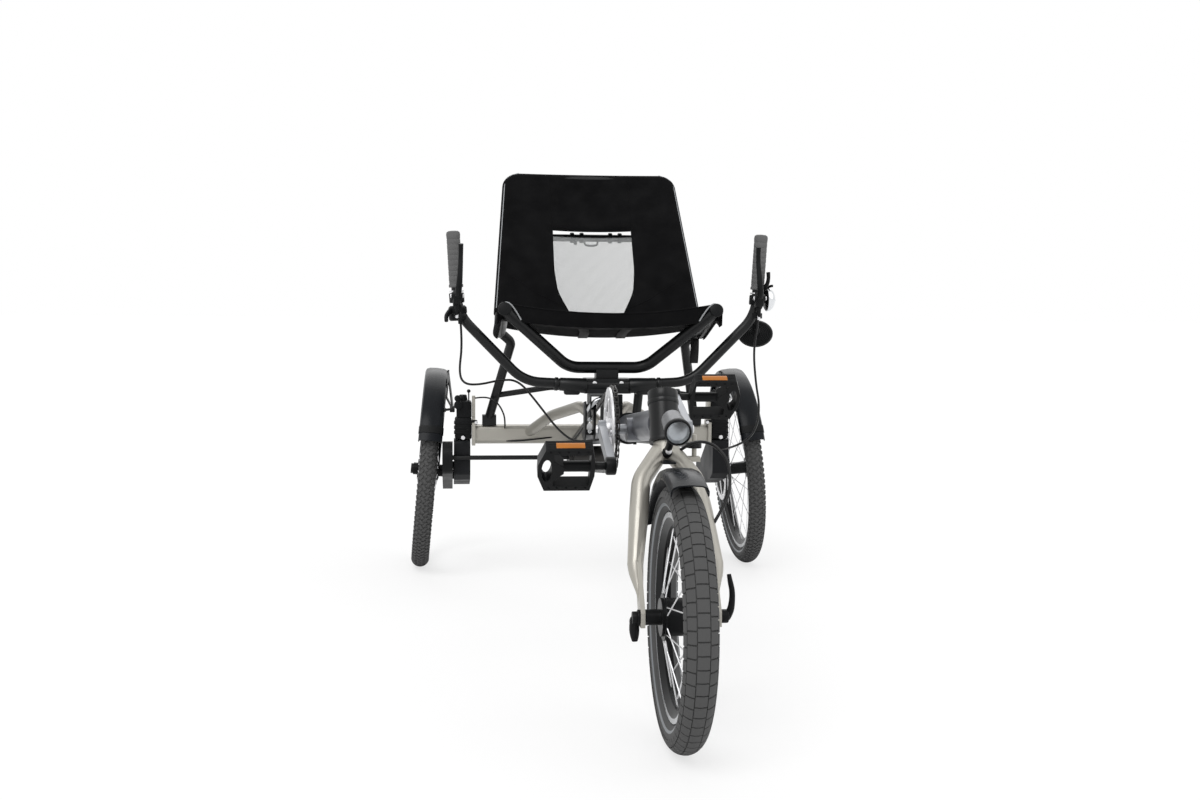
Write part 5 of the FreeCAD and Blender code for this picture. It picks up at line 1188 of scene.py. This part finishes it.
DROPOUT = ((swept, via((63, 1494, 279), (63, 1500, 268), (61, 1510, 252), (59, 1522, 237),
                       (58.5, 1530, 226)), 25, (1.0, 0.98, 0.7, 0.42, 0.3)),)


class TRIKE_OT_dropouts(bpy.types.Operator):
    """Draw the fork's blades down into their flat dropouts"""
    bl_idname = "trike.dropouts"
    bl_label = "Dropouts"

    def execute(self, context):
        assembled("dropout_shoes", "fork", (["silver_powder_coat"], "frame_silver"), DROPOUT, BOTH)
        return {"FINISHED"}


# What sits on the handlebar, given for its left side
GRIP_LOW = at(335.9, 529, 713)
GRIP_WAY = at(343.0, 529, 836) - GRIP_LOW
GRIP_LENGTH = GRIP_WAY.length / MM
GRIP_PROFILE = (
    (0, 11.1), (0, 15.4), (3, 15.8), (6, 15.4), (7.5, 14.2),
    *((12 + 11.5 * i + x, r) for i in range(9) for x, r in ((0, 14.8), (1.2, 14.1), (2.4, 14.8))),
    *((GRIP_LENGTH - x, r) for x, r in ((8, 15.3), (3, 14.2), (0.6, 10.5), (0, 5.0), (0, 0))),
)
GRIP = ((turned, GRIP_PROFILE, GRIP_LOW, GRIP_WAY, {"steps": 48, **OPEN}),)
BAR = at(334.5, 529, 690)
BAR_WAY = (at(343, 529, 833) - at(332, 529, 655)).normalized()
LEVER_SIDE = ((530, 678), (548, 668), (566, 676), (576, 690), (572, 706), (552, 708), (530, 702))
BRAKE_LEVER = (
    (turned, ((-11, 11.2), (-11, 15), (-9, 16.5), (9, 16.5), (11, 15), (11, 11.2)), BAR, BAR_WAY,
     {"steps": 40}),
    (slab, [at(325, s, z) for s, z in LEVER_SIDE], LEFT * 18 * MM, 4),
    (cylinder, at(322, 566, 694), at(346, 566, 694), 6.5, {"edge": 1}),
    (swept, via((334, 562, 690), (332, 580, 700), (329, 590, 722), (327, 584, 756), (326, 578, 784),
                (326, 583, 806)), 14, (1.1, 1.1, 0.95, 0.8, 0.72, 0.8)),
    (cylinder, at(334, 556, 676), at(334.6, 556, 652), 5.5, 3.8, {"edge": 0.8}),
)
SHIFTER = (
    (turned, ((-15, 11.2), (-15, 17), (-12, 20), (-3, 20.5), (0, 19), (3, 20.5), (14, 20), (18, 16),
              (18, 11.2)), at(332, 529, 655), BAR_WAY, {"steps": 40}),
    (swept, via((346, 536, 664), (354, 548, 656), (358, 560, 648), (357, 568, 640)), 10,
     (1.3, 1.1, 0.9, 0.9)),
    (swept, via((330, 545, 660), (328, 556, 650), (327, 552, 634)), 9),
)
THUMB_LEVER = (
    (swept, via((346, 532, 712), (354, 544, 722), (357, 550, 738), (356, 548, 752)), 10,
     (1.2, 1.0, 0.8, 0.9)),
    (cylinder, at(340, 528, 706), at(352, 530, 712), 8, {"edge": 2}),
)
LEVER_BOLTS = (
    (bolt, at(346, 566, 694), LEFT, 4.5, 2.5),
    (bolt, at(322, 566, 694), -LEFT, 4.5, 2.5),
    (cylinder, at(334, 556, 655), at(334.3, 556, 646), 3.6, {"sides": 16}),
    (turned, ((-14, 11.1), (-14, 15.2), (-12.5, 15.8), (-11, 15.2), (-11, 11.1)),
     BAR + BAR_WAY * 27 * MM, BAR_WAY, {"steps": 40}),
)
CLAMP_BOLTS = ((bolt, at(30, 536.4, 503), AHEAD, 5, 2.6),)
CLAMP_SLEEVES = (
    (cylinder, at(48, 528, 497), at(108, 529, 501), 17, 14.5, {"edge": 2}),
    (cylinder, at(111, 529, 501), at(119, 529, 501.5), 15, {"edge": 1.5}),
    (box, at(62, 520, 477), at(98, 538, 494), 5),
)
# An oval of 82 by 62 mm that faces the rider
MIRROR_SEAT = (Matrix.Translation(at(343, 493, 614)) @ Matrix.Diagonal((41 / 40, 1, 31 / 40, 1))
               @ (-AHEAD).to_track_quat("X", "Z").to_matrix().to_4x4())
MIRROR_PROFILE = (
    (13.2, 0), (13.2, 38.4), (12.6, 40), (10, 40), (5.5, 37),
    *((0.2 + 5.0 * (r / 37) ** 2 + x, r + lift) for r in range(34, 8, -4)
      for x, lift in ((0.5, 1.2), (-0.5, 0), (-0.5, -1.4), (0.2, -2))),
    (0.0, 7.0), (-1.4, 6.0), (-1.4, 0.0),
)
MIRROR_SHELL = (
    (lathe, MIRROR_PROFILE, MIRROR_SEAT, OPEN),
    (swept, via((337, 528, 652), (338, 520, 641), (341, 509, 628), (343, 498, 617)), 9),
    (ball, at(342, 503, 621), 7.5),
    (turned, ((-6, 11.1), (-6, 14.6), (6, 14.6), (6, 11.1)), at(333, 529, 655), UP, {"steps": 36}),
)
MIRROR_PANE = ((lathe, ((13.1, 0), (13.1, 36.5), (13.9, 36), (13.9, 0)), MIRROR_SEAT, OPEN),)
BELL = at(353, 529, 691)
BELL_DOME = (
    (turned, ((4, 24.5), (4, 26.6), (9, 26), (14, 23.6), (18, 19.4), (21, 13.5), (22.6, 6.5), (23, 0)),
     BELL, LEFT, OPEN),
    (cylinder, at(375, 529, 691), at(378, 529, 691), 3.2, {"sides": 18, "edge": 0.8}),
)
BELL_FOOT = (
    (turned, ((0, 0), (0, 20), (3, 24.4), (6, 24.4), (6, 0)), BELL, LEFT, OPEN),
    (cylinder, at(340, 529, 691), at(354, 529, 691), 7, {"edge": 1}),
    (swept, via((357, 529, 716), (362, 534, 722), (368, 540, 722)), 6),
)


class TRIKE_OT_controls(bpy.types.Operator):
    """Build the brake levers, the shifter, the mirror, the bell and the clamp's bolts"""
    bl_idname = "trike.controls"
    bl_label = "Controls"

    def execute(self, context):
        for side, name, thumb in ((1, "left", THUMB_LEVER), (-1, "right", SHIFTER)):
            assembled("lever_" + name, "handlebar", NYLON, BRAKE_LEVER + thumb, (side,),
                      ["brake_lever_" + name])
            assembled("lever_bolts_" + name, "handlebar", STEEL, LEVER_BOLTS, (side,))
            assembled("rubber_grip_" + name, "handlebar", (["grip_rubber"], "grip_rubber"), GRIP, (side,),
                      ["grip_" + name])
        assembled("mirror_shell", "handlebar", NYLON, MIRROR_SHELL, (1,), ["mirror"])
        assembled("mirror_pane", "handlebar", (["mirror_glass"], "bright_steel"), MIRROR_PANE)
        assembled("bell_dome", "handlebar", (["chrome_plate"], "bright_steel"), BELL_DOME, (1,), ["bell"])
        assembled("bell_foot", "handlebar", NYLON, BELL_FOOT)
        assembled("clamp_bolts", "handlebar", STEEL, CLAMP_BOLTS, BOTH)
        assembled("clamp_sleeves", "handlebar", BLACK_COAT, CLAMP_SLEEVES, BOTH)
        return {"FINISHED"}


# The seat rails' middle line on the left, as (x, station, height), and their radius; millimetres
RAIL_FRONT = (232.0, 592.0, 667.0)
RAIL_HIP = (236.0, 338.0, 600.0)
RAIL_TOP = (202.0, 60.0, 990.0)
RAIL_R = 13.0
# How wide the rails' top corner bends, and how far the cloth's middle lies from the rails' middle line
CORNER_R = 24.0
LAID = RAIL_R + 1.6
# Cells of a cloth across: round each rail, from rail to window, and across the window
WRAP = 8
SIDE = 7
MIDDLE = 14
# The back cloth's flap behind the top bar, the sag at each distance from the stretch's end, the window's half
# width at each height, and the window's ends
FLAP_HALF = 148.0
BACK_SAGS = ((-15.0, 2.0), (0.0, 3.0), (60.0, 14.0), (160.0, 22.0), (420.0, 26.0))
SEAT_SAGS = ((40.0, 24.0), (260.0, 22.0))
WINDOW_HALVES = ((640.0, 44.0), (667.0, 64.0), (716.0, 92.0), (767.0, 99.0), (1010.0, 98.0))
WINDOW_TOP = 157.0
WINDOW_LOW = 403.0
# How far the cloths' hems lie from their stretch's end, and the rows of the flap behind the top bar
BACK_HEM = 413.0
SEAT_HEM = 255.0
SEAT_END = 42.0
FLAP_ROWS = [14.0, 28.0, 42.0, 56.0, 70.0]
OPEN_ROWS = 2
# Where the piping runs: distance from the top, (distance, turn round the rail), and down the front band
BACK_EDGE = (405, 330, 250, 170, 100, 48, 30, 12, 0, -6, -11)
SEAT_EDGE = ((45, 75), (110, 72), (180, 66), (235, 55), (254, 40))
BAND_EDGE = via((226, 591, 683), (214, 589, 672), (203, 585, 656), (196, 581, 643))
STRAP_COLUMNS = (15, 29)
RAIL_WAY = (at(*RAIL_FRONT) - at(*RAIL_HIP)).normalized()
RAIL_CAPS = tuple(
    (cylinder, mirrored(at(*RAIL_FRONT) - RAIL_WAY * 6 * MM, side),
     mirrored(at(*RAIL_FRONT) + RAIL_WAY * 4 * MM, side), 15, {"edge": 3}) for side in BOTH)
CROSSBAR_FITTINGS = (
    *((cylinder, at(x - 5, 110, 844), at(x + 5, 110, 844), 13, {"edge": 2}) for x in (-46, -22, 50, 74)),
    (box, at(-42, 112, 826), at(-34, 122, 846), 2),
    (swept, via((-16, 116, 842), (-16, 122, 830), (-12, 124, 824), (14, 124, 824), (18, 122, 830),
                (18, 116, 842)), 5),
)


def grid(bm, columns, rows):
    """A square grid of the given cells, its corners at 0 and 1."""
    made = bmesh.ops.create_grid(bm, x_segments=columns, y_segments=rows, size=0.5)["verts"]
    bmesh.ops.translate(bm, vec=(0.5, 0.5, 0.0), verts=made)
    return made


def mixed(a, b, share):
    """Each value a share of the way from one point's to another's."""
    return tuple(p + (q - p) * share for p, q in zip(a, b))


def looked_up(table, value):
    """A value read between the rows of a rising table."""
    if value <= table[0][0]:
        return table[0][1]
    for (a, first), (b, last) in zip(table, table[1:]):
        if value <= b:
            return first + (last - first) * (value - a) / (b - a)
    return table[-1][1]


def stretch_axes(first, last):
    """The way along a stretch of the rails and the way out of its cloth, seen from the side."""
    along = Vector((0.0, first[1] - last[1], last[2] - first[2])).normalized()
    return along, Vector((0.0, -along.z, along.y))


def rail_place(first, last, back, turn, corner):
    """A place on the cloth round the left rail: back from the stretch's end, turned out from its front."""
    along, normal = stretch_axes(first, last)
    total = (Vector(last) - Vector(first)).length
    x, s, z = mixed(first, last, 1 - max(back, 0.0) / total)
    centre = Vector((0.0, MIDDLE_S - s, z)) - along * min(back, 0.0)
    if corner and back < CORNER_R:
        out = CORNER_R + LAID * math.sin(turn)
        x += math.sqrt(max(0.0, out ** 2 - (CORNER_R - back) ** 2)) - CORNER_R
    else:
        x += LAID * math.sin(turn)
    return centre + Vector((x, 0.0, 0.0)) + normal * (LAID * math.cos(turn))


def cloth_row(first, last, back, sag, reach, corner=False, behind=False):
    """One row of cloth over both rails and the sagging middle, in millimetres."""
    lean = math.asin(min(1.0, max(0.0, -back / LAID))) if corner else 0.0
    near = math.pi - lean if behind else lean
    far = near if behind else max(near, min(math.radians(reach), math.pi - lean))
    side = [rail_place(first, last, back, far + (near - far) * i / WRAP, corner) for i in range(WRAP + 1)]
    if behind:
        side = [Vector((min(p.x, FLAP_HALF), p.y, p.z)) for p in side]
    edge = side[-1]
    normal = stretch_axes(first, last)[1]
    window = min(looked_up(WINDOW_HALVES, edge.z), edge.x * 0.9)
    xs = [edge.x + (window - edge.x) * i / SIDE for i in range(1, SIDE)]
    xs += [window * (1 - 2 * i / MIDDLE) for i in range(MIDDLE + 1)]
    xs += [-x for x in reversed(xs[:SIDE - 1])]
    inner = [Vector((x, edge.y, edge.z)) - normal * sag * (1 - (x / edge.x) ** 2) for x in xs]
    return side + inner + [Vector((-p.x, p.y, p.z)) for p in reversed(side)]


def steps_between(first, last, count):
    """Even steps from a first value up to, and without, a last one."""
    return [first + (last - first) * i / count for i in range(count)]


def back_rows():
    """The back cloth's rows from its lower hem up, over the top bar and down behind it."""
    front = steps_between(BACK_HEM, WINDOW_LOW, 1) + steps_between(WINDOW_LOW, WINDOW_TOP, 24)
    window_end = len(front)
    front += steps_between(WINDOW_TOP, CORNER_R, 8) + steps_between(CORNER_R, 0.0, 8)
    rise = [-LAID * math.sin(math.pi / 2 * i / 5) for i in range(6)]
    rows = [(back, False) for back in front + rise]
    rows += [(back, True) for back in rise[-2::-1] + FLAP_ROWS]
    return [cloth_row(RAIL_HIP, RAIL_TOP, back, looked_up(BACK_SAGS, back), 150, True, behind)
            for back, behind in rows], window_end


def seat_rows():
    """The seat cloth's rows from its front hem back."""
    return [cloth_row(RAIL_FRONT, RAIL_HIP, back, looked_up(SEAT_SAGS, back), 160)
            for back in steps_between(SEAT_HEM, SEAT_END, 24) + [SEAT_END]]


def cloth_mesh(rows, window_rows=(), open_rows=()):
    """A cloth's grid laid on its rows, mapped in metres, with a window in a second finish and an opening."""
    columns = len(rows[0]) - 1
    bm = bmesh.new()
    verts = grid(bm, columns, len(rows) - 1)
    layer = bm.loops.layers.uv.new(CLOTH_MAP)
    spans = []
    for row in rows:
        run = [0.0]
        for a, b in zip(row, row[1:]):
            run.append(run[-1] + (b - a).length * MM)
        spans.append([value - run[-1] / 2 for value in run])
    middle = columns // 2
    rises = [0.0]
    for a, b in zip(rows, rows[1:]):
        rises.append(rises[-1] + (b[middle] - a[middle]).length * MM)
    cells = {v: (round(v.co.x * columns), round(v.co.y * (len(rows) - 1))) for v in verts}
    for v, (i, j) in cells.items():
        v.co = rows[j][i] * MM
    for face in bm.faces:
        for loop in face.loops:
            i, j = cells[loop.vert]
            loop[layer].uv = (spans[j][i], rises[j])
        i = min(cells[v][0] for v in face.verts)
        j = min(cells[v][1] for v in face.verts)
        if WRAP + SIDE <= i < WRAP + SIDE + MIDDLE:
            face.material_index = 1 if j in window_rows else 2 if j in open_rows else 0
    bmesh.ops.delete(bm, geom=[f for f in bm.faces if f.material_index == 2], context="FACES")
    return bm


class TRIKE_OT_seat(bpy.types.Operator):
    """Stretch the seat's and the back's cloth over the rails, with piping, seams and straps"""
    bl_idname = "trike.seat"
    bl_label = "Seat cloth"

    def execute(self, context):
        seat = seat_rows()
        self.cloth("seat_cloth", cloth_mesh(seat), ["seat_sling"], (0.58, 0.205))
        back, window_end = back_rows()
        window_top = window_end - OPEN_ROWS
        mesh = cloth_mesh(back, range(1, window_top), range(window_top, window_end))
        self.cloth("back_cloth", mesh, ["back_sling"], (0.52, 0.475))
        self.front_band(seat)
        self.trim(seat, back, window_end)
        self.straps(seat)
        assembled("seat_fittings", "frame", NYLON, RAIL_CAPS + CROSSBAR_FITTINGS)
        return {"FINISHED"}

    def cloth(self, name, bm, stands_for, flat):
        obj = piece(name, bm, "frame", ["seat_cloth", "seat_mesh"], "sling_cloth", stands_for, sharp=80.0)
        thicken(obj, sizes().cloth_thickness)

    def front_band(self, seat):
        """The band of cloth that hangs down from the seat's front hem."""
        hem = seat[0][4:-4]
        drop = [p + Vector((0, 5.0, -30.0 - 4.0 * abs(p.x) / 230)) for p in hem]
        low = [p + Vector((0, 26.0, -4.0)) for p in drop]
        obj = piece("seat_front_band", cloth_mesh([low, drop, hem]), "frame", ["seat_cloth"], "sling_cloth",
                    sharp=20.0)
        thicken(obj, sizes().cloth_thickness)

    def trim(self, seat, back, window_end):
        """Pale piping along the outer edges, and black hems and seams."""
        across = slice(WRAP + SIDE, WRAP + SIDE + MIDDLE + 1)
        hems = [seat[0], back[0][WRAP:-WRAP]]
        for column, low in ((WRAP + SIDE, WRAP + 1), (WRAP + SIDE + MIDDLE, len(seat[0]) - WRAP - 2)):
            hems.append([row[column] for row in back[1:window_end + 17:3]])
            hems.append([back[10 - 2 * i][low + (column - low) * i // 4] for i in range(5)])
        hems.append(back[window_end][across])
        hems = [[p * MM for p in hem] for hem in hems]
        edges = [[rail_place(RAIL_HIP, RAIL_TOP, back_by, math.radians(40), True) * MM
                  for back_by in BACK_EDGE],
                 [rail_place(RAIL_FRONT, RAIL_HIP, back_by, math.radians(turn), False) * MM
                  for back_by, turn in SEAT_EDGE] + BAND_EDGE]
        piping = [mirrored(edge, side) for side in BOTH for edge in edges]
        line("cloth_piping", piping, sizes().piping, "frame", "seat_piping")
        line("cloth_hems", hems, 3.6 * MM, "frame", "seat_cloth")

    def straps(self, seat):
        """Webbing under the seat and the strap that hangs from its left side."""
        bm = bmesh.new()
        under = stretch_axes(RAIL_FRONT, RAIL_HIP)[1] * 4.5 * MM
        for column in STRAP_COLUMNS:
            for v in grid(bm, 1, 22):
                place = seat[1 + round(v.co.y * 22)][column] * MM
                v.co = place - under + LEFT * (v.co.x - 0.5) * 22 * MM
        for v in grid(bm, 2, 8):
            fall = v.co.y
            v.co = at(212 + 20 * v.co.x - 2 * fall, 376 + 5 * math.sin(fall * 3.0), 600 - 58 * fall)
        thicken(piece("seat_straps", bm, "frame", ["webbing"], "sling_cloth", sharp=80.0), 2.2 * MM)


class TRIKE_PT_dressing(bpy.types.Panel):
    """The tricycle's pieces, in the order they are built"""
    bl_idname = "TRIKE_PT_dressing"
    bl_label = "Tricycle"
    bl_space_type = "VIEW_3D"
    bl_region_type = "UI"
    bl_category = "Tricycle"

    def draw(self, context):
        for operator in OPERATORS:
            self.layout.operator(operator.bl_idname)


OPERATORS = (
    TRIKE_OT_stage, TRIKE_OT_cables, TRIKE_OT_finishes, TRIKE_OT_tyres, TRIKE_OT_discs, TRIKE_OT_drive,
    TRIKE_OT_pedals, TRIKE_OT_guards, TRIKE_OT_suspension, TRIKE_OT_front_end, TRIKE_OT_dropouts,
    TRIKE_OT_controls, TRIKE_OT_seat,
)
GROUPS = (TRIKE_PG_colours, TRIKE_PG_sizes)


def register():
    for cls in GROUPS + OPERATORS + (TRIKE_PT_dressing,):
        bpy.utils.register_class(cls)
    bpy.types.Scene.trike_colours = bpy.props.PointerProperty(type=TRIKE_PG_colours)
    bpy.types.Scene.trike_sizes = bpy.props.PointerProperty(type=TRIKE_PG_sizes)


def unregister():
    del bpy.types.Scene.trike_sizes
    del bpy.types.Scene.trike_colours
    for cls in reversed(GROUPS + OPERATORS + (TRIKE_PT_dressing,)):
        bpy.utils.unregister_class(cls)


def main():
    register()
    for operator in OPERATORS:
        group, name = operator.bl_idname.split(".")
        getattr(getattr(bpy.ops, group), name)()


if __name__ == "__main__":
    main()
